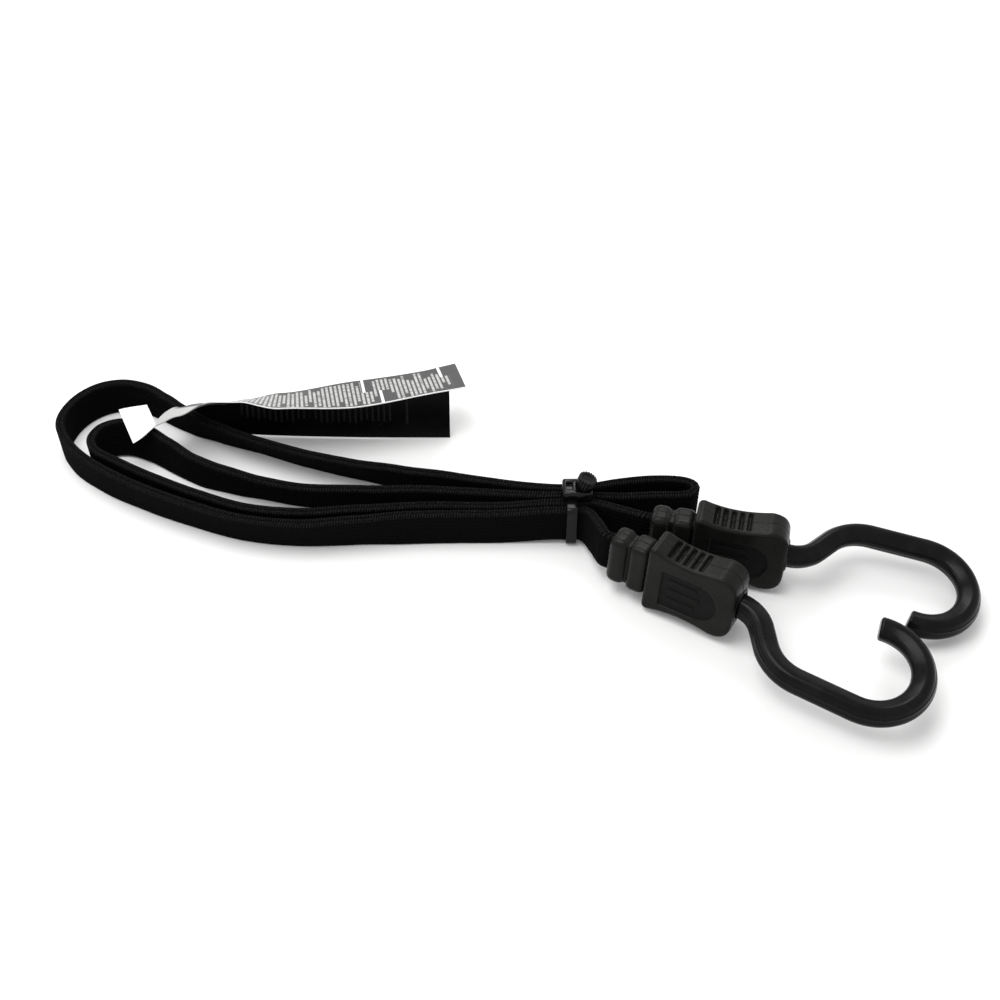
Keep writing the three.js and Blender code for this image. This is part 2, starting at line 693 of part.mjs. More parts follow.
// The strap's tail, from the tie into the clip inside the grip
function makeTail(frame, strand, bends) {
  const middle = TIE_LIFT + STRAP_WIDTH / 2;
  const start = vec(TIE_X + CLEARANCE, strandY(strand), middle);
  const neckEnd = -GRIP_LENGTH - 2 * BEAD_LENGTH;
  const tip = CLIP_LENGTH - CLIP_REACH - CLIP_WALL - CLEARANCE;
  const inside = [neckEnd - 3, neckEnd, -CLIP_REACH, tip].map((x) => vec(x, 0).applyMatrix4(frame));
  const points = [start, ...bends.map(([x, y, z]) => start.clone().add(vec(x, y, z))), ...inside];
  const width = vec(0, 0, 1).transformDirection(frame);
  const acrosses = points.map((_, i) => (i < 2 ? vec(0, 0, 1) : width));
  const frames = framesAlong(points, acrosses, TAIL_STEPS);
  frames[0].tangent.set(1, 0, 0);
  return loft(frames.map(strapRing));
}

// Both ends of the cord
const grip = makeGrip();
for (const [name, { exit, yaw, pitch, roll, curl, droop, twist, strand, bends }] of Object.entries(ENDS)) {
  const end = new THREE.Group();
  end.position.set(...exit);
  end.rotation.set(radians(roll), radians(pitch), radians(yaw), "ZYX");
  end.updateMatrix();
  layout.add(end);
  addMesh(end, `${name}_grip_near_shell`, makeShell(grip, -1), gripPlastic);
  addMesh(end, `${name}_grip_far_shell`, makeShell(grip, 1), gripPlastic);
  addMesh(end, `${name}_strap_clip`, makeClip(), steel);
  const hook = new THREE.Group();
  hook.rotation.set(radians(twist), radians(droop), 0, "YXZ");
  hook.position.set(headEnd + WEB_LENGTH / 2, 0, 0);
  end.add(hook);
  for (const [piece, geometry, material] of [
    ["hook_core", makeCore(curl), steel],
    ["hook_coat", makeCoat(curl), coating],
    ["hook_washer", makeWasher(), steel],
  ]) {
    geometry.translate(-hook.position.x, 0, 0);
    addMesh(hook, `${name}_${piece}`, geometry, material);
  }
  addMesh(layout, `${name}_strap_tail`, makeTail(end.matrix, strand, bends), webbing);
}

export default root;
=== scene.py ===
import math

import bmesh
import bpy
import numpy as np
from mathutils import Matrix, Vector


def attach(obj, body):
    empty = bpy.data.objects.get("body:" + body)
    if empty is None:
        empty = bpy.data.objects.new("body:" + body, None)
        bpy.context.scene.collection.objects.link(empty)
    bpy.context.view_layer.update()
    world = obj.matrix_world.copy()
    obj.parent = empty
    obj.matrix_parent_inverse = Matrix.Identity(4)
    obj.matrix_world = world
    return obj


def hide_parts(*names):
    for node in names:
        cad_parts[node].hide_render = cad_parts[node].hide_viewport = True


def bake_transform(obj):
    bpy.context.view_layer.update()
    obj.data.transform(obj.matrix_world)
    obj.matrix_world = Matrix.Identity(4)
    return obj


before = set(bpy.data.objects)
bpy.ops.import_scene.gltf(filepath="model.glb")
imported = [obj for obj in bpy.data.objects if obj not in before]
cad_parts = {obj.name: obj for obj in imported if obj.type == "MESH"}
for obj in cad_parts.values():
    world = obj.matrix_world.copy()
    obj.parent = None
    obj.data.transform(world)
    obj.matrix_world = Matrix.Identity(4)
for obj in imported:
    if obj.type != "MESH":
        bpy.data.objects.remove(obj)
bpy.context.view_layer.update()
scene = bpy.context.scene
scene.view_settings.view_transform = "Standard"

# The stand: a plain white floor that runs out of the picture on every side.
# It takes the cord's soft shadow. To the camera alone it also glows, more so further out.
FLOOR_SIZE = 4.0
FLOOR_WHITE = (0.86, 0.86, 0.855, 1)
FLOOR_GLOW = (0.02, 0.02, 0.02, 1)
FLOOR_FAR_GLOW = (0.7, 0.7, 0.7, 1)
FLOOR_FADE = (0.35, 1.2)


class Tone:
    """A socket in a finish's node tree. Arithmetic on tones adds Math nodes."""

    def __init__(self, tree, socket=None):
        self.tree = tree
        self.socket = socket

    def node(self, kind, settings=None, inputs=None, output=0):
        """Adds a node: its settings are made first, then its inputs are set or linked."""
        made = self.tree.nodes.new("ShaderNode" + kind)
        for name, value in (settings or {}).items():
            setattr(made, name, value)
        for name, value in (inputs or {}).items():
            if isinstance(value, Tone):
                self.tree.links.new(value.socket, made.inputs[name])
            else:
                made.inputs[name].default_value = value
        return Tone(self.tree, made.outputs[output] if made.outputs else None)

    def math(self, operation, *values):
        return self.node("Math", {"operation": operation}, dict(enumerate(values)))

    def __add__(self, other):
        return self.math("ADD", self, other)

    def __sub__(self, other):
        return self.math("SUBTRACT", self, other)

    def __rsub__(self, other):
        return self.math("SUBTRACT", other, self)

    def __mul__(self, other):
        return self.math("MULTIPLY", self, other)

    def __truediv__(self, other):
        return self.math("DIVIDE", self, other)

    __radd__ = __add__
    __rmul__ = __mul__

    def step(self, low, high):
        """0 below low, 1 above high, smooth between."""
        settings = {"interpolation_type": "SMOOTHSTEP"}
        return self.node("MapRange", settings, {"Value": self, "From Min": low, "From Max": high})

    def band(self, start, stop, fade):
        """1 from start to stop, with a smooth fade after each."""
        return self.step(start, start + fade) * (1 - self.step(stop, stop + fade))

    def wave(self):
        """0 to 1 and back, once for each 1 that this tone grows."""
        return self.math("SINE", self * math.tau) * 0.5 + 0.5

    def colours(self, first, second):
        """The first colour where this tone is 0, the second where it is 1."""
        return self.node("Mix", {"data_type": "RGBA"}, {0: self, 6: first, 7: second}, 2)

    def noise(self, at, scale, detail, dimensions="3D"):
        inputs = {"Vector": at, "Scale": scale, "Detail": detail}
        return self.node("TexNoise", {"noise_dimensions": dimensions}, inputs)

    def bump(self, strength, distance):
        """A bump with this tone as its height."""
        inputs = {"Strength": strength, "Distance": distance, "Height": self}
        return self.node("Bump", None, inputs)

    def strip(self):
        """A strip's UV, which is in metres: whole, along its length and across it."""
        uv = self.node("TexCoord", output="UV")
        return uv, *(self.node("SeparateXYZ", None, {0: uv}, axis) for axis in (0, 1))

    def surface(self, inputs):
        """Ends a finish with one surface that has these inputs."""
        skin = self.node("BsdfPrincipled", None, inputs)
        self.node("OutputMaterial", None, {"Surface": skin})


def new_finish(name):
    material = bpy.data.materials.new(name)
    material.use_nodes = True
    material.node_tree.nodes.clear()
    return material, Tone(material.node_tree)


def select_only(*pieces):
    bpy.ops.object.select_all(action="DESELECT")
    for piece in pieces:
        piece.select_set(True)
    bpy.context.view_layer.objects.active = pieces[0]


bpy.ops.object.select_all(action="DESELECT")
bpy.ops.mesh.primitive_plane_add(size=FLOOR_SIZE)
floor = bpy.context.object
floor.name = "floor"
floor_paint, tone = new_finish("white floor")
rays = tone.node("LightPath", output="Is Camera Ray")
diffuse = tone.node("BsdfDiffuse", None, {"Color": FLOOR_WHITE})
place = tone.node("TexCoord", output="Object")
from_middle = tone.node("VectorMath", {"operation": "LENGTH"}, {0: place}, 1)
shine = from_middle.step(*FLOOR_FADE).colours(FLOOR_GLOW, FLOOR_FAR_GLOW)
glow = tone.node("Emission", None, {"Color": shine, "Strength": 1.0})
lit = tone.node("AddShader", None, {0: diffuse, 1: glow})
seen = tone.node("MixShader", None, {0: rays, 1: diffuse, 2: lit})
tone.node("OutputMaterial", None, {"Surface": seen})
floor.data.materials.append(floor_paint)

# The light: an even white surround, a soft box over the cord, a weak one from the left,
# and one behind that puts a sheen on the upward faces.
SURROUND = 0.82
LAMPS = (
    # name, place, target, size, power in watts
    ("top_box", (-0.2, 0, 0.8), (0.02, -0.02, 0), (0.5, 0.4), 3.6),
    ("left_box", (-0.75, 0.1, 0.6), (0, 0, 0), (0.6, 0.6), 1.8),
    ("back_box", (0.12, 0.7, 0.75), (0.06, -0.03, 0), (0.5, 0.3), 2.6),
)
for name, place, target, size, power in LAMPS:
    bpy.ops.object.light_add(type="AREA", location=place)
    lamp = bpy.context.object
    lamp.name = name
    lamp.rotation_euler = (Vector(target) - Vector(place)).to_track_quat("-Z", "Y").to_euler()
    lamp.data.shape = "RECTANGLE"
    lamp.data.size, lamp.data.size_y = size
    lamp.data.energy = power
world = bpy.data.worlds.new("surround")
scene.world = world
world.use_nodes = True
world.node_tree.nodes.clear()
tone = Tone(world.node_tree)
rays = tone.node("LightPath", output="Is Camera Ray")
for ray in ("Is Glossy Ray", "Is Transmission Ray"):
    rays = rays.math("MAXIMUM", rays, tone.node("LightPath", output=ray))
even = tone.node("Background", None, {"Color": (1, 1, 1, 1), "Strength": SURROUND})
white = tone.node("Background", None, {"Color": (1, 1, 1, 1), "Strength": 1.0})
both = tone.node("MixShader", None, {0: rays, 1: even, 2: white})
tone.node("OutputWorld", None, {"Surface": both})

# The camera looks down at 45 degrees from about 0.6 m, as the photograph does.
# The fold was laid out round the point that it looks at, so that point is the layout's own zero.
LAYOUT = Vector((0.00352, 0.03331, 0))
VIEW_DISTANCE = 0.598
VIEW_ELEVATION = math.radians(45)
VIEW_LENS = 47.5
SENSOR_WIDTH = 36
camera_data = bpy.data.cameras.new("camera")
camera = bpy.data.objects.new("camera", camera_data)
scene.collection.objects.link(camera)
camera_data.lens = VIEW_LENS
camera_data.sensor_width = SENSOR_WIDTH
to_viewer = Vector((0, -math.cos(VIEW_ELEVATION), math.sin(VIEW_ELEVATION)))
camera.location = LAYOUT + VIEW_DISTANCE * to_viewer
camera.rotation_euler = (-to_viewer).to_track_quat("-Z", "Y").to_euler()
scene.camera = camera

# The strap: flat elastic webbing, 18 mm wide and 4 mm thick, woven with ribs along both faces
# and a double bead along each edge. It stands on its edge, and four strands of it pass the tie.
STRAP_WIDTH = 0.018
STRAP_THICKNESS = 0.004
STRAP_STEP = 0.0016
RIB_PITCH = 0.002
RIBS = 7
RIB_DEPTH = 0.00028
# share of the pitch, share of the depth
RIB_PROFILE = ((0.0, 1.0), (0.2, 0.3), (0.5, 0.0), (0.8, 0.3))
BEAD_TURNS = (0, 30, 60, 90, 120, 150)
BEAD_VALLEY = 0.25
CURVE_STEPS = 40
TIE_X = 0.031
TIE_LIFT = 0.002
STRAND_PITCH = 0.0046
BUNDLE_Y = -0.0183


def strand_y(row):
    return BUNDLE_Y + row * STRAND_PITCH


# The route, in the layout: x, y, lean towards the viewer in degrees, lift of the lower edge.
HANK_ROUTE = [
    # front strand, from the tie to the left
    (TIE_X, strand_y(-1.5), 0, TIE_LIFT),
    (0.022, strand_y(-1.5), 0, TIE_LIFT),
    (0, -0.0252, 0, 0),
    (-0.02, -0.0254, 0, 0),
    (-0.04, -0.026, 0, 0),
    (-0.063, -0.0278, 9, 0),
    (-0.087, -0.0293, 14, 0),
    (-0.112, -0.026, 14, 0),
    (-0.135, -0.0178, 13, 0),
    (-0.158, -0.0074, 11, 0),
    (-0.18, 0.0054, 7, 0),
    (-0.1955, 0.019, 2, 0),
    # outer left loop
    (-0.2035, 0.034, 0, 0),
    (-0.2005, 0.049, 0, 0),
    (-0.1915, 0.059, 0, 0),
    (-0.18, 0.0622, 0, 0),
    (-0.168, 0.059, 0, 0),
    (-0.157, 0.0515, 4, 0),
    (-0.146, 0.0436, 13, 0),
    (-0.133, 0.0365, 24, 0),
    (-0.11, 0.0267, 32, 0),
    (-0.09, 0.0185, 30, 0),
    (-0.067, 0.0112, 27, 0),
    (-0.044, 0.0052, 20, 0),
    (-0.02, -0.001, 9, 0),
    (0, -0.007, 2, 0.001),
    (0.021, -0.0112, 0, TIE_LIFT),
    (TIE_X, strand_y(1.5), 0, TIE_LIFT),
    # bight on the right of the tie
    (0.04, -0.0107, 0, TIE_LIFT),
    (0.052, -0.008, 0, TIE_LIFT),
    (0.067, -0.006, 0, TIE_LIFT),
    (0.08, -0.0067, 0, TIE_LIFT),
    (0.0842, -0.0086, 0, TIE_LIFT),
    (0.0854, -0.0114, 0, TIE_LIFT),
    (0.0837, -0.0144, 0, TIE_LIFT),
    (0.0795, -0.0157, 0, TIE_LIFT),
    (0.067, -0.016, 0, TIE_LIFT),
    (0.053, -0.0168, 0, TIE_LIFT),
    (0.04, -0.0163, 0, TIE_LIFT),
    (TIE_X, strand_y(0.5), 0, TIE_LIFT),
    # inner rear strand and inner left loop
    (0.021, strand_y(0.5), 0, TIE_LIFT),
    (0, -0.0136, 2, 0.001),
    (-0.03, -0.0095, 8, 0),
    (-0.06, -0.0082, 15, 0),
    (-0.088, -0.006, 20, 0),
    (-0.105, -0.0018, 20, 0),
    (-0.122, 0.0036, 12, 0),
    (-0.137, 0.01, 4, 0),
    (-0.1515, 0.0202, -6, 0),
    (-0.163, 0.0282, -13, 0),
    (-0.1745, 0.0324, -16, 0),
    (-0.183, 0.0296, -10, 0),
    (-0.1866, 0.0224, -3, 0),
    (-0.1834, 0.0158, 4, 0),
    # inner front strand, back to the tie
    (-0.1743, 0.01, 7, 0),
    (-0.1545, -0.0008, 11, 0),
    (-0.1325, -0.0112, 13, 0),
    (-0.1105, -0.0194, 14, 0),
    (-0.087, -0.0224, 14, 0),
    (-0.06, -0.0211, 9, 0),
    (-0.03, -0.0202, 0, 0),
    (0, -0.0205, 0, 0),
    (0.022, strand_y(-0.5), 0, TIE_LIFT),
    (TIE_X, strand_y(-0.5), 0, TIE_LIFT),
]


def route_frames(points, acrosses, spacing):
    """Points, directions and width directions at even steps along a smooth curve."""
    points = [np.array(p, float) for p in points]
    ends = [2 * points[0] - points[1]] + points + [2 * points[-1] - points[-2]]
    fine = np.linspace(0, 1, CURVE_STEPS, endpoint=False)
    line, width = [], []
    for k in range(len(points) - 1):
        p0, p1, p2, p3 = ends[k : k + 4]
        d0, d1, d2 = (np.linalg.norm(b - a) ** 0.5 for a, b in ((p0, p1), (p1, p2), (p2, p3)))
        m1 = d1 * ((p1 - p0) / d0 - (p2 - p0) / (d0 + d1) + (p2 - p1) / d1)
        m2 = d1 * ((p2 - p1) / d1 - (p3 - p1) / (d1 + d2) + (p3 - p2) / d2)
        for t in fine:
            h = (2 * t**3 - 3 * t**2 + 1, t**3 - 2 * t**2 + t, 3 * t**2 - 2 * t**3, t**3 - t**2)
            line.append(h[0] * p1 + h[1] * m1 + h[2] * p2 + h[3] * m2)
            eased = t * t * (3 - 2 * t)
            width.append((1 - eased) * np.array(acrosses[k]) + eased * np.array(acrosses[k + 1]))
    line, width = np.array(line + [points[-1]]), np.array(width + [np.array(acrosses[-1])])
    along = np.concatenate(([0], np.cumsum(np.linalg.norm(np.diff(line, axis=0), axis=1))))
    even = np.linspace(0, along[-1], round(along[-1] / spacing) + 1)
    line = np.stack([np.interp(even, along, line[:, i]) for i in range(3)], 1)
    width = np.stack([np.interp(even, along, width[:, i]) for i in range(3)], 1)
    heading = np.gradient(line, axis=0)
    heading /= np.linalg.norm(heading, axis=1, keepdims=True)
    width -= (width * heading).sum(1, keepdims=True) * heading
    width /= np.linalg.norm(width, axis=1, keepdims=True)
    return even, line, heading, width


def close_mesh():
    """Ends an edit: turns all faces outwards and goes back to object mode."""
    bpy.ops.mesh.select_all(action="SELECT")
    bpy.ops.mesh.normals_make_consistent(inside=False)
    bpy.ops.object.mode_set(mode="OBJECT")


def smooth(degrees):
    bpy.ops.object.shade_smooth_by_angle(angle=math.radians(degrees))


def new_skin(name, points, faces, uvs):
    """A new piece from a grid of points, its faces and a UV for each corner of each face."""
    mesh = bpy.data.meshes.new(name)
    mesh.from_pydata(points.reshape(-1, 3).tolist(), [], faces)
    layer = mesh.uv_layers.new(name="UVMap")
    layer.data.foreach_set("uv", np.array(uvs, np.float32).ravel())
    piece = bpy.data.objects.new(name, mesh)
    scene.collection.objects.link(piece)
    return piece


def sweep(name, frames, section, edge):
    """A closed skin over a section carried along frames, with length and girth as its UV."""
    along, line, heading, width = frames
    normal = np.cross(heading, width)
    section = np.array(section)
    through, up = section[None, :, :1], section[None, :, 1:]
    rings = line[:, None] - through * normal[:, None] + up * width[:, None]
    rings[..., 2] = np.maximum(rings[..., 2], 0)
    steps, sides = rings.shape[:2]
    edges = np.diff(section, axis=0, append=section[:1])
    girth = np.concatenate(([0], np.cumsum(np.linalg.norm(edges, axis=1))))
    faces, uvs = [], []
    for i in range(steps - 1):
        for k in range(sides):
            a, b = i * sides + k, i * sides + (k + 1) % sides
            faces.append((a, b, b + sides, a + sides))
            corners = ((i, k), (i, k + 1), (i + 1, k + 1), (i + 1, k))
            uvs += [(along[step], girth[side]) for step, side in corners]
    last = (steps - 1) * sides
    for cap, at in ((range(sides - 1, -1, -1), 0), (range(sides), last)):
        faces.append(tuple(at + k for k in cap))
        uvs += [(along[0 if at == 0 else -1], girth[k]) for k in cap]
    piece = new_skin(name, rings, faces, uvs)
    layer = piece.data.attributes.new("edge", "FLOAT", "POINT")
    layer.data.foreach_set("value", np.tile(np.array(edge, np.float32), steps))
    select_only(piece)
    bpy.ops.object.mode_set(mode="EDIT")
    close_mesh()
    smooth(50)
    return piece


def strap_section():
    """The webbing's section, as pairs through its thickness and along its width, and edge marks."""
    half, rib_span = STRAP_THICKNESS / 2, RIBS * RIB_PITCH / 2
    bead = half / 2
    crown = STRAP_WIDTH / 2 - bead
    upper = []
    for turn in BEAD_TURNS:
        angle = math.radians(turn)
        upper.append((bead + bead * math.cos(angle), crown + bead * math.sin(angle)))
    upper.append((0, crown + BEAD_VALLEY * bead))
    upper += [(-n, w) for n, w in reversed(upper[:-1])]
    face = []
    for rib in range(RIBS):
        for part, dip in RIB_PROFILE:
            face.append((RIB_DEPTH * dip - half, rib_span - (rib + part) * RIB_PITCH))
    face.append((RIB_DEPTH - half, -rib_span))
    lower = [(-n, -w) for n, w in upper]
    back = [(-n, -w) for n, w in face]
    section = upper + face + lower + back
    edge = [1.0] * len(upper) + [0.0] * len(face) + [1.0] * len(lower) + [0.0] * len(back)
    return section, edge


def strap_point(x, y, lean, lift):
    lean = math.radians(lean)
    half = (STRAP_WIDTH * math.cos(lean) + STRAP_THICKNESS * abs(math.sin(lean))) / 2
    return LAYOUT + Vector((x, y, lift + half))


def strap_across(lean):
    return (0, -math.sin(math.radians(lean)), math.cos(math.radians(lean)))


WEBBING_DARK = (0.0023, 0.0023, 0.0024, 1)
WEBBING_LIGHT = (0.03, 0.03, 0.03, 1)
TICK_PITCH = 0.00115
STITCH_PITCH = 0.0017
webbing, tone = new_finish("ribbed elastic webbing")
uv, along, around = tone.strip()
on_edge = tone.node("Attribute", {"attribute_name": "edge"}, output="Fac")
wander = tone.noise(uv, 260.0, 2.0, "2D")
fibre = tone.noise(uv, 2600.0, 3.0, "2D")
slant = around * (0.45 / RIB_PITCH) + wander * 0.8
ticks = (along / TICK_PITCH + slant * 0.5).wave()
zigzag = tone.math("PINGPONG", around, RIB_PITCH) / RIB_PITCH
stitches = (along / STITCH_PITCH + zigzag * 0.9 + wander * 0.5).wave()
relief = ticks * on_edge + stitches * (1 - on_edge) * 0.55
bright = relief.step(0.45, 0.95) * fibre.step(0.42, 0.68) * (0.28 + on_edge * 0.72)
tone.surface(
    {
        "Base Color": bright.colours(WEBBING_DARK, WEBBING_LIGHT),
        "Roughness": 0.95 - bright * 0.2,
        "Specular IOR Level": 0.03,
        "Normal": (relief * 0.8 + fibre * 0.35).bump(0.85, 0.00022),
    }
)

section, edge = strap_section()
points = [strap_point(*row) for row in HANK_ROUTE]
frames = route_frames(points, [strap_across(row[2]) for row in HANK_ROUTE], STRAP_STEP)
hank = sweep("strap_in_hank", frames, section, edge)
hank.data.materials.append(webbing)
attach(hank, "hank")
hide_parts("strap_hank")

# The two tails: the same webbing from the tie into each grip, where a clip holds it.
# The front one curves off sharply where it leaves the tie.
CLEARANCE = 0.0003
GRIP_LENGTH = 0.0392
BEAD_LENGTH = 0.0094
CLIP_REACH = 0.024
TAIL_TIP = -0.0152
NECK_RUN = 0.003
BEND_START = Vector((0.0024, 0, 0))
BEND_REACH = Vector((0.006, -0.006, 0))
# exit: where the hook leaves its grip, in the layout. turns: the grip's yaw, pitch and roll.
ENDS = {
    "front": {
        "exit": (0.09645, -0.0775, 0.0176),
        "turns": (-30.9, 0, -5.5),
        "curl": -1,
        "droop": 2,
        "twist": 12,
        "strand": -1.5,
        "bends": ((0.0032, 0, 0), (0.0066, -0.003, 0.0009), (0.0096, -0.011, 0.0036)),
    },
    "rear": {
        "exit": (0.1196, -0.04925, 0.017),
        "turns": (-13.9, 0, -4.5),
        "curl": 1,
        "droop": 6,
        "twist": 10,
        "strand": -0.5,
        "bends": ((0.0032, 0, 0), (0.009, -0.0014, 0.0008), (0.02, -0.0086, 0.004)),
    },
}
neck_end = -GRIP_LENGTH - 2 * BEAD_LENGTH
for name, end in ENDS.items():
    yaw, pitch, roll = (math.radians(turn) for turn in end["turns"])
    turned = Matrix.Rotation(yaw, 4, "Z") @ Matrix.Rotation(pitch, 4, "Y")
    turned = turned @ Matrix.Rotation(roll, 4, "X")
    end["place"] = Matrix.Translation(LAYOUT + Vector(end["exit"])) @ turned
    start = LAYOUT + Vector((TIE_X + CLEARANCE, strand_y(end["strand"]), 0))
    start.z += TIE_LIFT + STRAP_WIDTH / 2
    inside = (neck_end - NECK_RUN, neck_end, -CLIP_REACH, TAIL_TIP)
    points = [start] + [start + Vector(bend) for bend in end["bends"]]
    points += [end["place"] @ Vector((x, 0, 0)) for x in inside]
    upright, tilted = Vector((0, 0, 1)), turned @ Vector((0, 0, 1))
    frames = route_frames(points, [upright] * 2 + [tilted] * (len(points) - 2), STRAP_STEP / 2)
    tail = sweep(f"{name}_strap_end", frames, section, edge)
    tail.data.materials.append(webbing)
    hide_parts(f"{name}_strap_tail")
    if name == "front":
        bend_start = start + BEND_START
        bend_start + BEND_REACH
        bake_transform(tail)
    else:
        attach(tail, "hank")

# The tie: a glossy black plastic band round the four strands, with a lock body on its top run
# and a ridged knob that turns in the lock. All three are injection moulded.
BAND_WIDTH = 0.0046
BAND_THICKNESS = 0.0013
BAND_CORNER = 0.0026
BAND_EDGE = 0.0003
LOCK_SIZE = Vector((0.013, 0.0104, 0.0048))
LOCK_SHIFT = Vector((0.0024, 0.0016, 0))
LOCK_ROUND = 0.0013
LOCK_EDGE = 0.00018
LOCK_SLOT = Vector((0.0032, 0.0042, 0.0014))
SLOT_MARGIN = 0.0014
SLOT_ROUND = 0.0004
KNOB_RADIUS = 0.0041
KNOB_HEIGHT = 0.0054
KNOB_RIDGES = 20
KNOB_NOTCH = 0.87
KNOB_RIM = 0.0007
KNOB_DISH = 0.0003
KNOB_EDGE = 0.00014
KNOB_TILT = math.radians(18)
KNOB_SHIFT = 0.003
KNOB_SEAT = 0.0012
STEM_RADIUS = 0.0016
STEM_LENGTH = 0.002
TIE_BLACK = (0.0022, 0.0022, 0.0023, 1)
TIE_WORN = (0.005, 0.005, 0.005, 1)


def apply_place(piece, place):
    """Sets a piece in its place and puts the place into its mesh."""
    select_only(piece)
    piece.matrix_world = place
    bpy.ops.object.transform_apply(location=True, rotation=True, scale=True)


def apply_modifier(piece, kind, **settings):
    select_only(piece)
    modifier = piece.modifiers.new(kind.lower(), kind)
    for name, value in settings.items():
        setattr(modifier, name, value)
    bpy.ops.object.modifier_apply(modifier=modifier.name)


def combine(piece, other, operation):
    """Adds another body to a piece, or cuts it away."""
    apply_modifier(piece, "BOOLEAN", object=other, operation=operation, solver="EXACT")
    bpy.data.objects.remove(other)


def round_edges(piece, width, segments, degrees):
    """Rounds the edges that turn by more than an angle."""
    turn = {"limit_method": "ANGLE", "angle_limit": math.radians(degrees)}
    apply_modifier(piece, "BEVEL", width=width, segments=segments, **turn)


def block_between(low, high, rounding=0, segments=4):
    """A block between two corners, with round edges if asked."""
    low, high = Vector(low), Vector(high)
    bpy.ops.object.select_all(action="DESELECT")
    bpy.ops.mesh.primitive_cube_add(size=1)
    block = bpy.context.object
    size = high - low
    apply_place(block, Matrix.Translation((low + high) / 2) @ Matrix.Diagonal((*size, 1)))
    if rounding:
        apply_modifier(block, "BEVEL", width=rounding, segments=segments, limit_method="NONE")
    return block


def bar_along(place, radius, start, end, sides=48):
    """A round bar along the Z axis of a place."""
    bpy.ops.object.select_all(action="DESELECT")
    bpy.ops.mesh.primitive_cylinder_add(vertices=sides, radius=radius, depth=end - start)
    bar = bpy.context.object
    apply_place(bar, place @ Matrix.Translation((0, 0, (start + end) / 2)))
    return bar


def dress(piece, name, finish, body, slot, *nodes):
    """Names a finished piece, gives it its finish and its body, and hides what it replaces. The
    slot is not used.
    """
    piece.name = piece.data.name = name
    piece.data.materials.clear()
    piece.data.materials.append(finish)
    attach(piece, body)
    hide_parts(*nodes)


tie_gloss, tone = new_finish("glossy moulded tie plastic")
place = tone.node("TexCoord", output="Object")
flow = tone.noise(place, 320.0, 3.0)
scuffs = tone.noise(place, 2400.0, 4.0)
tone.surface(
    {
        "Base Color": scuffs.step(0.45, 0.75).colours(TIE_BLACK, TIE_WORN),
        "Roughness": 0.14 + flow.step(0.4, 0.7) * 0.12,
        "Specular IOR Level": 0.16,
        "Normal": (flow + scuffs * 0.15).bump(0.35, 0.0001),
    }
)

bundle_half = 1.5 * STRAND_PITCH + STRAP_THICKNESS / 2 + CLEARANCE
band_low = TIE_LIFT - CLEARANCE
band_high = TIE_LIFT + STRAP_WIDTH + CLEARANCE
tie_middle = LAYOUT + Vector((TIE_X, BUNDLE_Y, 0))

bpy.ops.object.select_all(action="DESELECT")
bpy.ops.mesh.primitive_plane_add(size=1)
band = bpy.context.object
band_size = (2 * (bundle_half + BAND_THICKNESS), band_high - band_low + 2 * BAND_THICKNESS, 1)
apply_place(band, Matrix.Diagonal((*band_size, 1)))
bpy.ops.object.mode_set(mode="EDIT")
bpy.ops.mesh.select_all(action="SELECT")
bpy.ops.mesh.bevel(offset=BAND_CORNER, segments=8, affect="VERTICES")
bpy.ops.mesh.select_all(action="SELECT")
bpy.ops.mesh.inset(thickness=BAND_THICKNESS)
bpy.ops.mesh.delete(type="FACE")
bpy.ops.mesh.select_all(action="SELECT")
bpy.ops.mesh.extrude_region_move(TRANSFORM_OT_translate={"value": (0, 0, BAND_WIDTH)})
close_mesh()
upright = Matrix(((0, 0, 1, 0), (1, 0, 0, 0), (0, 1, 0, 0), (0, 0, 0, 1)))
band_start = tie_middle + Vector((-BAND_WIDTH / 2, 0, (band_low + band_high) / 2))
apply_place(band, Matrix.Translation(band_start) @ upright)
round_edges(band, BAND_EDGE, 3, 40)
smooth(40)
dress(band, "band_round_strands", tie_gloss, "hank", "tie_plastic", "tie_band")

lock_foot = tie_middle + LOCK_SHIFT + Vector((0, 0, band_high + CLEARANCE))
half_lock = Vector((LOCK_SIZE.x / 2, LOCK_SIZE.y / 2, 0))
lock_top = lock_foot.z + LOCK_SIZE.z
lock_high = lock_foot + half_lock + Vector((0, 0, LOCK_SIZE.z))
lock = block_between(lock_foot - half_lock, lock_high, LOCK_ROUND, 5)
channel_half = BAND_WIDTH / 2 + CLEARANCE
roof = band_high + BAND_THICKNESS + CLEARANCE
channel = block_between(
    (tie_middle.x - channel_half, lock_foot.y - LOCK_SIZE.y, band_low),
    (tie_middle.x + channel_half, lock_foot.y + LOCK_SIZE.y, roof),
)
combine(lock, channel, "DIFFERENCE")
slot_left = lock_foot.x - LOCK_SIZE.x / 2 + SLOT_MARGIN
slot = block_between(
    (slot_left, lock_foot.y - LOCK_SLOT.y / 2, lock_top - LOCK_SLOT.z),
    (slot_left + LOCK_SLOT.x, lock_foot.y + LOCK_SLOT.y / 2, lock_top + LOCK_SIZE.z),
    SLOT_ROUND,
)
combine(lock, slot, "DIFFERENCE")
knob_foot = lock_foot + Vector((KNOB_SHIFT, 0, LOCK_SIZE.z + CLEARANCE))
knob_place = Matrix.Translation(knob_foot) @ Matrix.Rotation(KNOB_TILT, 4, "Y")
seat = bar_along(knob_place, KNOB_RADIUS + CLEARANCE, -KNOB_SEAT, LOCK_SIZE.z)
combine(lock, seat, "DIFFERENCE")
socket_end = -KNOB_SEAT - STEM_LENGTH - CLEARANCE
socket = bar_along(knob_place, STEM_RADIUS + CLEARANCE, socket_end, 0)
combine(lock, socket, "DIFFERENCE")
round_edges(lock, LOCK_EDGE, 2, 50)
smooth(35)
dress(lock, "lock_body", tie_gloss, "hank", "tie_plastic", "tie_lock")

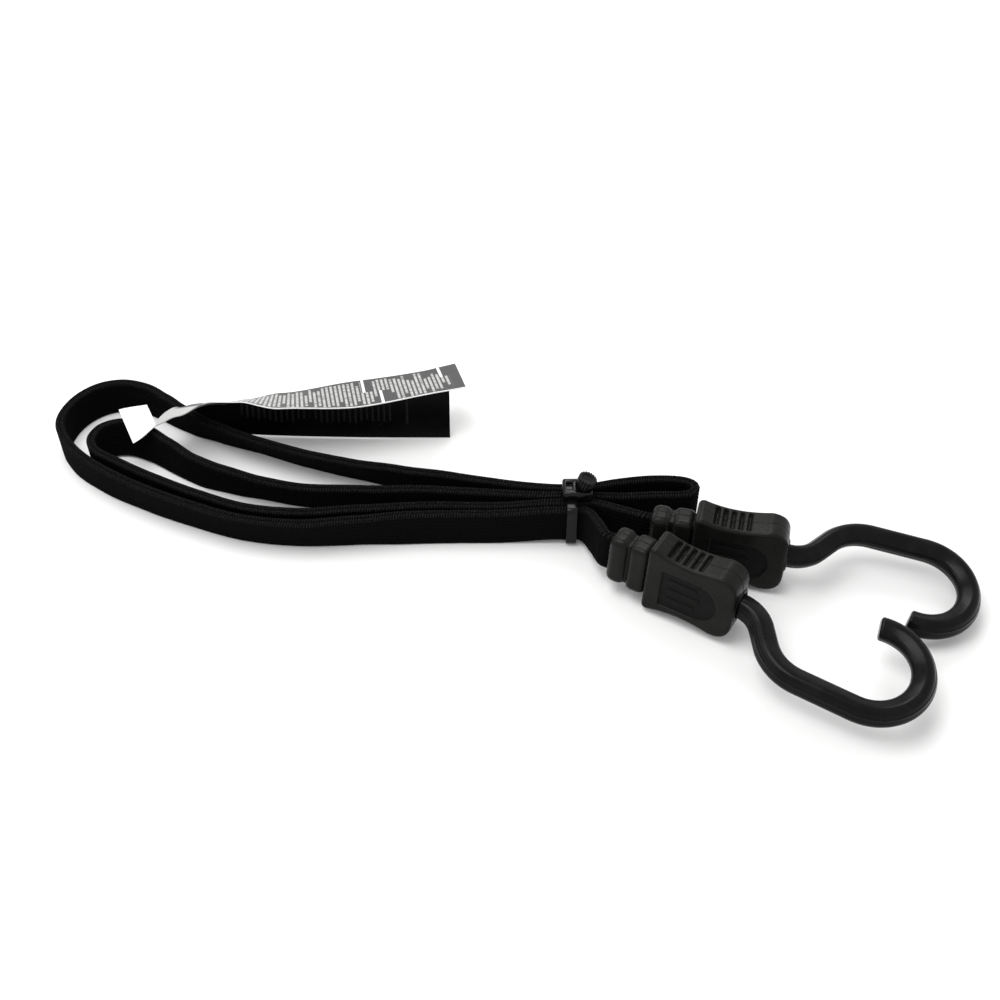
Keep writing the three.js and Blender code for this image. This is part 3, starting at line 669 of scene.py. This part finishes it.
bpy.ops.object.select_all(action="DESELECT")
bpy.ops.mesh.primitive_circle_add(
    vertices=4 * KNOB_RIDGES, radius=KNOB_RADIUS, fill_type="NGON"
)
knob = bpy.context.object
bpy.ops.object.mode_set(mode="EDIT")
bpy.ops.mesh.select_mode(type="VERT")
bpy.ops.mesh.select_all(action="DESELECT")
rim = bmesh.from_edit_mesh(knob.data)
for vertex in rim.verts:
    vertex.select_set(vertex.index % 4 == 0)
bmesh.update_edit_mesh(knob.data)
bpy.ops.transform.resize(value=(KNOB_NOTCH, KNOB_NOTCH, 1), center_override=(0, 0, 0))
bpy.ops.mesh.select_all(action="SELECT")
bpy.ops.mesh.extrude_region_move(TRANSFORM_OT_translate={"value": (0, 0, KNOB_HEIGHT)})
bpy.ops.mesh.inset(thickness=KNOB_RIM)
bpy.ops.mesh.extrude_region_move(TRANSFORM_OT_translate={"value": (0, 0, -KNOB_DISH)})
close_mesh()
apply_place(knob, knob_place @ Matrix.Translation((0, 0, CLEARANCE - KNOB_SEAT)))
round_edges(knob, KNOB_EDGE, 2, 40)
combine(knob, bar_along(knob_place, STEM_RADIUS, -KNOB_SEAT - STEM_LENGTH, 0), "UNION")
smooth(35)
dress(knob, "ridged_knob", tie_gloss, "knob", "tie_plastic", "tie_knob")

# The grips: two moulded halves of satin black plastic that close over the strap's end and the
# hook's head. Each has two beads at its neck, finger grooves on the narrow sides and a sunk panel
# on the wide face, left with three plain bars.
GRIP_WIDTH = 0.0328
GRIP_THICKNESS = 0.015
GRIP_WAIST = 0.0022
GRIP_NECK_CORNER = 0.0026
GRIP_END_CORNER = 0.0085
GRIP_RIM = 0.0014
GROOVES = 5
GROOVE_PITCH = 0.0034
GROOVE_WIDTH = 0.0025
GROOVE_DEPTH = 0.0023
GROOVE_RIM = 0.0018
PANEL_SIZE = (0.025, 0.0185)
PANEL_DROP = 0.0015
PANEL_DEPTH = 0.0008
PANEL_LIP = 0.0002
BEAD_SIZE = (0.0236, 0.0124)
BEAD_ROUNDS = (0.0026, 0.0034)
NECK_SIZE = (0.0206, 0.0082)
CLIP_SIZE = (0.0101, 0.0070, 0.0210)
MOUTH_RADIUS = 0.00574
MOUTH_DEPTH = 0.002
LIP = 0.0009
# radius, start and end
HEAD_ROOM = (0.0057, -0.0103, -0.005)
SHANK_ROOM = 0.0037
# how far bodies run past a face where they are joined or cut
LAP = 0.001
MOULD_GRAIN = 0.0003
PARTING_MARGIN = 0.002
PARTING_GAP = 0.0002
GRIP_BLACK = (0.0068, 0.0065, 0.0061, 1)
GRIP_PALE = (0.0108, 0.0104, 0.0097, 1)
# the sunk panel's colour: the same plastic, painted darker as painted shade in the recess
GRIP_PANEL_SHADE = (0.004, 0.0039, 0.0037, 1)
# place across the grip, length
PANEL_BARS = ((-0.0063, 0.0125), (-0.0015, 0.0142), (0.0033, 0.0125))
PANEL_BAR_INSET = 0.003
PANEL_BAR_HALF = 0.001
PANEL_BAR_RISE = 0.0004
PANEL_BAR_ROOT = 0.0006
PANEL_BAR_ROUND = 0.0003


def drawn_curve(start, pull, end, count):
    """Points of a curve that is drawn from its start towards a pull point and on to its end."""
    steps = [i / count for i in range(1, count + 1)]
    start, pull, end = (np.array(point) for point in (start, pull, end))
    return [tuple((1 - t) ** 2 * start + 2 * t * (1 - t) * pull + t * t * end) for t in steps]


def plate(outline, start, end):
    """A plate with an outline in X and Z, from one y to another, its far face left selected."""
    bpy.ops.object.select_all(action="DESELECT")
    bpy.ops.mesh.primitive_circle_add(
        vertices=len(outline), radius=GRIP_LENGTH, fill_type="NGON"
    )
    made = bpy.context.object
    for vertex, (x, z) in zip(made.data.vertices, outline):
        vertex.co = (x, start, z)
    bpy.ops.object.mode_set(mode="EDIT")
    bpy.ops.mesh.select_all(action="SELECT")
    bpy.ops.mesh.extrude_region_move(TRANSFORM_OT_translate={"value": (0, end - start, 0)})
    return made


def copy_of(piece):
    """A copy with its own mesh."""
    made = piece.copy()
    made.data = piece.data.copy()
    scene.collection.objects.link(made)
    return made


def mirror(piece, sign):
    """Turns a piece over in y where the sign is -1, with its faces still outwards."""
    apply_place(piece, Matrix.Diagonal((1, sign, 1, 1)))
    bpy.ops.object.mode_set(mode="EDIT")
    close_mesh()


def grip_half():
    """The near half, in the grip's own axes: X along the strap, 0 at the hook, and Z across it."""
    half, far = GRIP_WIDTH / 2, GRIP_WIDTH / 2 - GRIP_WAIST / 3
    left, middle = -GRIP_LENGTH, (-GRIP_LENGTH - GRIP_END_CORNER) / 2
    neck_corner = (left + GRIP_NECK_CORNER, half)
    top = [(left, half - GRIP_NECK_CORNER)]
    top += drawn_curve(top[0], (left, half), neck_corner, 6)
    top += drawn_curve(neck_corner, (middle, half - 2 * GRIP_WAIST), (-GRIP_END_CORNER, far), 16)
    top += drawn_curve((-GRIP_END_CORNER, far), (0, far), (0, far - GRIP_END_CORNER), 14)
    outline = top + [(x, -z) for x, z in reversed(top)]
    grip = plate(outline, PARTING_MARGIN, -GRIP_THICKNESS / 2)
    bpy.ops.mesh.bevel(offset=GRIP_RIM, segments=5, affect="EDGES")
    close_mesh()
    # two beads, the outer one rounder, the neck between them and the lip round the hook's mouth
    wide, thick = BEAD_SIZE[0] / 2, BEAD_SIZE[1] / 2
    for bead, rounding in enumerate(BEAD_ROUNDS):
        right = left - bead * BEAD_LENGTH - CLEARANCE
        low = (right - BEAD_LENGTH + 2 * CLEARANCE, -thick, -wide)
        combine(grip, block_between(low, (right, thick, wide), rounding, 6), "UNION")
    neck_wide, neck_thick = NECK_SIZE[0] / 2, NECK_SIZE[1] / 2
    neck_low = (left - 1.5 * BEAD_LENGTH, -neck_thick, -neck_wide)
    combine(grip, block_between(neck_low, (left + LAP, neck_thick, neck_wide)), "UNION")
    bpy.ops.object.select_all(action="DESELECT")
    lip_radius = MOUTH_RADIUS + LIP / 2
    bpy.ops.mesh.primitive_torus_add(major_radius=lip_radius, minor_radius=LIP, major_segments=64)
    lip = bpy.context.object
    along_x = Matrix.Rotation(math.pi / 2, 4, "Y")
    apply_place(lip, Matrix.Translation((-LIP / 4, 0, 0)) @ along_x)
    combine(grip, lip, "UNION")
    # finger grooves
    rim = GRIP_THICKNESS / 2 - GROOVE_RIM
    for groove in range(GROOVES):
        x = middle + (groove - (GROOVES - 1) / 2) * GROOVE_PITCH
        along = (x - middle) / (GRIP_LENGTH - GRIP_END_CORNER)
        depth = half - GRIP_WAIST * (1 - 4 * along * along) - GROOVE_DEPTH
        for side in (1, -1):
            mouth = side * (depth + 2 * GROOVE_DEPTH)
            edges = ((x - GROOVE_WIDTH, mouth), (x, side * depth), (x + GROOVE_WIDTH, mouth))
            cutter = plate(edges, rim, -rim)
            close_mesh()
            combine(grip, cutter, "DIFFERENCE")
    # sunk panel
    panel_left, panel_half = left + (GRIP_WIDTH - PANEL_SIZE[1]) / 2, PANEL_SIZE[1] / 2
    turn = panel_left + PANEL_SIZE[0] - panel_half
    arc = [math.radians(degrees) for degrees in range(-90, 91, 9)]
    panel = [(turn + panel_half * math.cos(a), panel_half * math.sin(a) - PANEL_DROP) for a in arc]
    panel += [(panel_left, panel_half - PANEL_DROP), (panel_left, -panel_half - PANEL_DROP)]
    cutter = plate(panel, -GRIP_THICKNESS, PANEL_DEPTH - GRIP_THICKNESS / 2)
    close_mesh()
    combine(grip, cutter, "DIFFERENCE")
    # room for the strap, its clip and the hook's head
    slot_thick, slot_wide = STRAP_THICKNESS / 2 + CLEARANCE, STRAP_WIDTH / 2 + CLEARANCE
    clip_thick, clip_wide = CLIP_SIZE[1] / 2, CLIP_SIZE[2] / 2
    clip_far = CLIP_SIZE[0] - CLIP_REACH
    clip_low = (-CLIP_REACH - CLEARANCE, -clip_thick, -clip_wide)
    beyond = (GRIP_LENGTH, GRIP_THICKNESS, GRIP_WIDTH)
    for room in (
        block_between((2 * left, -slot_thick, -slot_wide), (clip_far, slot_thick, slot_wide)),
        block_between(clip_low, (clip_far + CLEARANCE, clip_thick, clip_wide)),
        bar_along(along_x, HEAD_ROOM[0], HEAD_ROOM[1], HEAD_ROOM[2]),
        bar_along(along_x, SHANK_ROOM, HEAD_ROOM[2] - LAP, LAP),
        bar_along(along_x, MOUTH_RADIUS, -MOUTH_DEPTH, GRIP_END_CORNER),
        block_between((2 * left, PARTING_MARGIN / 2, -GRIP_WIDTH), beyond),
    ):
        combine(grip, room, "DIFFERENCE")
    # the rounding that the mould leaves on every edge
    apply_modifier(grip, "REMESH", mode="VOXEL", voxel_size=MOULD_GRAIN)
    apply_modifier(grip, "SMOOTH", factor=0.5, iterations=5)
    # the parting face, cut clean
    bpy.ops.object.mode_set(mode="EDIT")
    bpy.ops.mesh.select_all(action="SELECT")
    bpy.ops.mesh.bisect(
        plane_co=(0, -PARTING_GAP, 0), plane_no=(0, 1, 0), use_fill=True, clear_outer=True
    )
    close_mesh()
    # plain raised bars in the panel
    floor_y = PANEL_DEPTH - GRIP_THICKNESS / 2
    bar_left = panel_left + PANEL_BAR_INSET
    bars = []
    for z, length in PANEL_BARS:
        low = (bar_left, floor_y - PANEL_BAR_RISE, z - PANEL_BAR_HALF)
        high = (bar_left + length, floor_y + PANEL_BAR_ROOT, z + PANEL_BAR_HALF)
        bars.append(block_between(low, high, PANEL_BAR_ROUND))
    select_only(grip, *bars)
    bpy.ops.object.join()
    bpy.ops.object.shade_smooth()
    # the sunk panel is marked for the finish, which is rougher there and painted darker there as
    # painted shade
    sunk = []
    for x, y, z in (vertex.co for vertex in grip.data.vertices):
        past = max(x - turn, 0) if x > panel_left else GRIP_LENGTH
        aside = abs(z + PANEL_DROP)
        in_panel = aside < panel_half and math.hypot(past, aside if past else 0) < panel_half
        sunk.append(float(in_panel and PANEL_LIP < y + GRIP_THICKNESS / 2 < 2 * PANEL_DEPTH))
    layer = grip.data.attributes.new("sunk", "FLOAT", "POINT")
    layer.data.foreach_set("value", sunk)
    return grip


grip_satin, tone = new_finish("satin moulded grip plastic")
place = tone.node("TexCoord", output="Object")
grain = tone.noise(place, 3200.0, 2.0)
cloud = tone.noise(place, 120.0, 3.0)
rubbed = tone.noise(place, 420.0, 4.0)
sunk = tone.node("Attribute", {"attribute_name": "sunk"}, output="Fac")
pits = tone.noise(place, 1100.0, 2.0)
pale = (cloud * 0.6 + grain * 0.4).step(0.35, 0.7) * (1 - sunk)
tone.surface(
    {
        # the sunk panel's darker colour is painted shade; its roughness and pits are real
        "Base Color": sunk.colours(pale.colours(GRIP_BLACK, GRIP_PALE), GRIP_PANEL_SHADE),
        "Roughness": 0.24 + rubbed.step(0.4, 0.7) * 0.1 + sunk * 0.3,
        "Specular IOR Level": 0.085,
        "Normal": (grain + pits * sunk * 4.0).bump(0.3, 0.00006),
    }
)

near_half = grip_half()
far_half = copy_of(near_half)
mirror(far_half, -1)
halves = {"near": near_half, "far": far_half}
for name, end in ENDS.items():
    for side, mould in halves.items():
        shell = copy_of(mould)
        apply_place(shell, end["place"])
        dress(
            shell,
            f"{name}_{side}_half",
            grip_satin,
            f"{name}_grip",
            "grip_plastic",
            f"{name}_grip_{side}_shell",
        )
for mould in halves.values():
    bpy.data.objects.remove(mould)

# The hooks: bent steel wire under a thick satin black coat, moulded on in two halves and cut flat
# at the tip. The coat's section is a rounded square, turned a little on the wire, and the mould's
# parting line runs along two sides of it.
WIRE = 0.0092
WIRE_CORNER = 0.0032
WIRE_ROLL = math.radians(25)
COAT_START = 0.0013
TIP_ROUND = 0.0011
HOOK_PIVOT = Vector((-0.0035, 0, 0))
PARTING_RIDGE = 0.00013
RIDGE_FOOT = 0.0002
CORNER_STEPS = 8
HOOK_BENDS = (
    # straight run, radius, turn in degrees, steps
    (0.0004 + COAT_START, 0.0145, 54, 16),
    (0.0082, 0.0208, -54.2, 20),
    (0.0229, 0.0196, -193, 56),
)
COAT_BLACK = (0.0024, 0.0024, 0.0025, 1)
COAT_GREY = (0.0044, 0.0044, 0.0044, 1)

coat_satin, tone = new_finish("satin hook coating")
place = tone.node("TexCoord", output="Object")
orange_peel = tone.noise(place, 900.0, 2.0)
handled = tone.noise(place, 160.0, 4.0)
tone.surface(
    {
        "Base Color": handled.step(0.4, 0.7).colours(COAT_BLACK, COAT_GREY),
        "Roughness": 0.2 + handled.step(0.35, 0.75) * 0.13,
        "Specular IOR Level": 0.1,
        "Normal": orange_peel.bump(0.3, 0.00008),
    }
)


def coat_section():
    """Points round the coat's section, with a small ridge at the two ends of its parting line."""
    half, points = WIRE / 2, []
    flat = half - WIRE_CORNER
    for quarter in range(4):
        middle = math.radians(45 + 90 * quarter)
        across = math.copysign(flat, math.cos(middle))
        up = math.copysign(flat, math.sin(middle))
        side = 1 if quarter in (0, 3) else -1
        if quarter in (0, 2):
            points += [(side * (half + PARTING_RIDGE), 0), (side * half, side * RIDGE_FOOT)]
        for step in range(CORNER_STEPS + 1):
            angle = math.radians(90 * (quarter + step / CORNER_STEPS))
            corner = WIRE_CORNER * math.cos(angle), WIRE_CORNER * math.sin(angle)
            points.append((across + corner[0], up + corner[1]))
        if quarter in (1, 3):
            points.append((side * half, -side * RIDGE_FOOT))
    turned = Matrix.Rotation(WIRE_ROLL, 2)
    return [turned @ Vector(point) for point in points]


def bent_coat():
    """The coat in the hook's own plane, X and Y: off to the left, then round to the right."""
    ring = coat_section()
    bpy.ops.object.select_all(action="DESELECT")
    bpy.ops.mesh.primitive_circle_add(vertices=len(ring), radius=WIRE / 2, fill_type="NGON")
    coat = bpy.context.object
    for vertex, (across, up) in zip(coat.data.vertices, ring):
        vertex.co = (-COAT_START, across, up)
    bpy.ops.object.mode_set(mode="EDIT")
    bpy.ops.mesh.select_all(action="SELECT")
    at, heading = Vector((-COAT_START, 0, 0)), 0.0
    for run, radius, degrees, steps in HOOK_BENDS:
        ahead = Vector((math.cos(heading), math.sin(heading), 0)) * run
        bpy.ops.mesh.extrude_region_move(TRANSFORM_OT_translate={"value": ahead})
        at += ahead
        turn = math.radians(degrees)
        aside = Vector((-math.sin(heading), math.cos(heading), 0)) * math.copysign(radius, turn)
        centre = at + aside
        # with no window, spin counts the other way
        bpy.ops.mesh.spin(steps=steps, angle=-turn, center=centre, axis=(0, 0, 1))
        at = centre + Matrix.Rotation(turn, 3, "Z") @ -aside
        heading += turn
    bpy.ops.mesh.bevel(offset=TIP_ROUND, segments=4, affect="EDGES")
    bpy.ops.mesh.select_all(action="SELECT")
    bpy.ops.mesh.remove_doubles(threshold=1e-7)
    close_mesh()
    return coat


hook_pattern = bent_coat()
for name, end in ENDS.items():
    coat = copy_of(hook_pattern)
    mirror(coat, end["curl"])
    droop, twist = math.radians(end["droop"]), math.radians(end["twist"])
    hung = Matrix.Rotation(droop, 4, "Y") @ Matrix.Rotation(twist, 4, "X")
    hung = Matrix.Translation(HOOK_PIVOT) @ hung @ Matrix.Translation(-HOOK_PIVOT)
    apply_place(coat, end["place"] @ hung)
    smooth(50)
    dress(
        coat,
        f"{name}_coated_hook",
        coat_satin,
        f"{name}_hook",
        "hook_coating",
        f"{name}_hook_coat",
    )
bpy.data.objects.remove(hook_pattern)

# Inside the grips: the hook's headed wire, its washer and the pressed clip on the strap's end.
# All are zinc-plated steel, hidden once the halves are closed.
ZINC = (0.46, 0.465, 0.47, 1)
ZINC_DULL = (0.30, 0.30, 0.295, 1)
zinc_plate, tone = new_finish("zinc-plated steel")
place = tone.node("TexCoord", output="Object")
spangle = tone.node("TexVoronoi", None, {"Vector": place, "Scale": 700.0}, "Color")
spangle = tone.node("SeparateXYZ", None, {0: spangle})
dulled = tone.noise(place, 500.0, 4.0)
tone.surface(
    {
        "Base Color": (dulled * 0.7 + spangle * 0.3).colours(ZINC, ZINC_DULL),
        "Metallic": 1.0,
        "Roughness": 0.28 + dulled * 0.2,
    }
)
for name in ENDS:
    for node in ("hook_core", "hook_washer", "strap_clip"):
        steel_piece = bpy.data.objects[f"{name}_{node}"]
        steel_piece.data.materials.clear()
        steel_piece.data.materials.append(zinc_plate)

# The tag: a strip of glossy film, folded into two leaves that lie over and behind the rear strand.
# The upper leaf carries pale rows and bars, and its bare white end hangs in the left loop.
FILM_THICKNESS = 0.0004
FILM_STEP = 0.0015
FILM_COLUMNS = 12
# x and y of the middle, height over the strap's top edge, the width's direction, near and far reach
UPPER_LEAF = (
    (-0.1717, 0.0289, 0.0018, -0.52, 0.78, 0.33, 0.0105, 0.0085),
    (-0.159, 0.035, 0.0032, -0.15, 0.95, 0, 0.0085, 0.0075),
    (-0.147, 0.037, 0.0044, 0, 0.95, -0.3, 0.0085, 0.0015),
    (-0.130, 0.0366, 0.008, 0, 0.72, -0.69, 0.011, 0.011),
    (-0.118, 0.0368, 0.0095, 0, 0.79, -0.61, 0.011, 0.011),
    (-0.100, 0.0374, 0.009, 0, 0.93, -0.37, 0.011, 0.011),
    (-0.065, 0.0435, 0.008, 0, 0.99, -0.12, 0.011, 0.011),
    (-0.035, 0.0505, 0.0088, -0.15, 0.96, -0.18, 0.011, 0.011),
    (-0.0185, 0.055, 0.0094, -0.29, 0.93, -0.14, 0.011, 0.011),
)
LOWER_LEAF = (
    (-0.0237, 0.0456, -0.0055, 0, 0.34, 0.94, 0.0125, 0.011),
    (-0.068, 0.0458, -0.0055, 0, 0.34, 0.94, 0.0125, 0.009),
    (-0.112, 0.0474, -0.0055, 0, 0.34, 0.94, 0.0125, 0.005),
    (-0.138, 0.050, -0.0055, 0, 0.34, 0.94, 0.0125, 0.002),
    (-0.147, 0.0518, -0.0055, 0, 0.34, 0.94, 0.004, -0.001),
)
FLAP_LENGTH = 0.0125
FLAP_NECK = 0.001


def film_leaf(name, rows, flap):
    """A strip of film along its rows, cut in behind its flap, with length and width as its UV."""
    points = [LAYOUT + Vector((row[0], row[1], STRAP_WIDTH + row[2])) for row in rows]
    along, line, heading, width = route_frames(points, [row[3:6] for row in rows], FILM_STEP)
    knots = np.concatenate(([0], np.cumsum([(b - a).length for a, b in zip(points, points[1:])])))
    knots *= along[-1] / knots[-1]
    near = np.interp(along, knots, [row[6] for row in rows])
    far = np.interp(along, knots, [row[7] for row in rows])
    if flap:
        past = along - flap
        far = np.where(past > 0, np.minimum(far, FLAP_NECK - near + past), far)
    count = FILM_COLUMNS + 1
    across = -near[:, None] + (near + far)[:, None] * np.linspace(0, 1, count)
    grid = line[:, None] + across[..., None] * width[:, None]
    faces, uvs = [], []
    for i in range(len(line) - 1):
        for k in range(FILM_COLUMNS):
            corners = ((i, k), (i + 1, k), (i + 1, k + 1), (i, k + 1))
            faces.append([row * count + column for row, column in corners])
            uvs += [(along[row], across[row, column]) for row, column in corners]
    leaf = new_skin(name, grid, faces, uvs)
    apply_modifier(leaf, "SOLIDIFY", thickness=FILM_THICKNESS, offset=0)
    smooth(40)
    return leaf, float(along[-1])


FILM_GREY = (0.05, 0.05, 0.051, 1)
FILM_PALE = (0.43, 0.43, 0.42, 1)
FILM_WHITE = (0.86, 0.86, 0.85, 1)
FILM_STRIP = (0.4, 0.4, 0.395, 1)
# where the painted highlight along the film's near edge begins, measured across the film
EDGE_HIGHLIGHT_REACH = 0.0104
ROW_PITCH = 0.002
ROW_REACH = (0.0102, 0.0098)
ROW_RAGGED = (0.008, 0.007)
STOP_SEED = 57.3
WORD_SHIFT = 3.7
WORDS_PER_METRE = 1100.0
PRINT_FADE = 0.0003
PRINT_START = (0.052, 0.053)
PRINT_END = (0.152, 0.1525)
# place along the film, near and far end
BARS = ((0.111, 0.0, 0.011), (0.1185, -0.011, 0.0), (0.148, 0.002, 0.011))
BAR_WIDTH = 0.0013
BAR_FADE = 0.0002
BAR_CLEAR = (0.0006, 0.0052)
FLAP_END = (0.0115, 0.0145)
CUT_END = (0.022, 0.026)
CUT_SIDE = (0, 0.0012)
BARE_END = (0.030, 0.046)
STRIP_END = (0.044, 0.048)
printed_film, tone = new_finish("printed tag film")
uv, along, across = tone.strip()
row = tone.math("FLOOR", along / ROW_PITCH)
in_row = tone.math("FRACT", along / ROW_PITCH)
start = tone.node("TexWhiteNoise", {"noise_dimensions": "1D"}, {"W": row}, "Value")
stop = tone.node("TexWhiteNoise", {"noise_dimensions": "1D"}, {"W": row + STOP_SEED}, "Value")
from_near = across + ROW_REACH[0] - start * start * start * ROW_RAGGED[0]
to_far = ROW_REACH[1] - stop * stop * stop * ROW_RAGGED[1] - across
words = tone.node("CombineXYZ", None, {0: row * WORD_SHIFT, 1: across * WORDS_PER_METRE})
words = tone.noise(words, 1.0, 1.0, "2D").step(0.34, 0.5)
printed = in_row.band(0.05, 0.62, 0.2) * (0.45 + words * 0.55)
printed = printed * from_near.step(0, PRINT_FADE) * to_far.step(0, PRINT_FADE)
printed = printed * along.step(*PRINT_START) * (1 - along.step(*PRINT_END))
# a thin white line along the near edge is a painted highlight; the bars below are printed white
white = 1 - across.step(-EDGE_HIGHLIGHT_REACH - PRINT_FADE, -EDGE_HIGHLIGHT_REACH)
for at, low, high in BARS:
    length = across.band(low, high - PRINT_FADE, PRINT_FADE)
    white = white.math("MAXIMUM", white, along.band(at, at + BAR_WIDTH, BAR_FADE) * length)
    beside = along.band(at - BAR_CLEAR[0], at + BAR_CLEAR[1], PRINT_FADE)
    printed = printed * (1 - beside * length)
behind_flap = along.step(*CUT_END) * across.step(*CUT_SIDE)
bare = (1 - along.step(*BARE_END)) * (1 - behind_flap)
# the painted highlight on the near edge and the printed bars take the plain white
bare = bare.math("MAXIMUM", bare, white * 0.95)
plain = along.step(*FLAP_END).colours(FILM_WHITE, FILM_STRIP)
plain = along.step(*STRIP_END).colours(plain, FILM_WHITE)
creases = tone.noise(uv, 70.0, 3.0, "2D")
tone.surface(
    {
        "Base Color": bare.colours(printed.colours(FILM_GREY, FILM_PALE), plain),
        "Roughness": 0.32 + creases * 0.2,
        "Specular IOR Level": 0.4,
        "Normal": creases.bump(0.25, 0.0006),
    }
)

LEAF_BLACK = (0.0015, 0.0015, 0.0016, 1)
LEAF_BAR = (0.014, 0.014, 0.0145, 1)
FAINT_PITCH = 0.0027
FAINT_SEED = 11.5
FAINT_REACH = (0.003, 0.006)
FAINT_RAGGED = 0.003
FAINT_FADE = 0.0008
# start, stop and fade
FAINT_SPAN = (0.018, 0.098, 0.002)
black_film, tone = new_finish("black tag film")
uv, along, across = tone.strip()
row = tone.math("FLOOR", along / FAINT_PITCH)
in_row = tone.math("FRACT", along / FAINT_PITCH)
reach = tone.node("TexWhiteNoise", {"noise_dimensions": "1D"}, {"W": row + FAINT_SEED}, "Value")
from_near = (across + FAINT_REACH[0] + reach * FAINT_RAGGED).step(0, FAINT_FADE)
to_far = 1 - across.step(FAINT_REACH[1], FAINT_REACH[1] + FAINT_FADE)
faint = in_row.band(0.15, 0.5, 0.2) * from_near * to_far
faint = faint * reach.step(0.15, 0.3) * along.band(*FAINT_SPAN)
creases = tone.noise(uv, 60.0, 2.0, "2D")
tone.surface(
    {
        "Base Color": faint.colours(LEAF_BLACK, LEAF_BAR),
        "Roughness": 0.2 + creases * 0.15,
        "Specular IOR Level": 0.1,
        "Normal": creases.bump(0.2, 0.0005),
    }
)

for name, rows, flap, finish, node in (
    ("printed_leaf", UPPER_LEAF, FLAP_LENGTH, printed_film, "tag_upper_leaf"),
    ("black_leaf", LOWER_LEAF, 0, black_film, "tag_lower_leaf"),
):
    leaf, leaf_length = film_leaf(name, rows, flap)
    dress(leaf, name, finish, "hank", "tag_film", node)
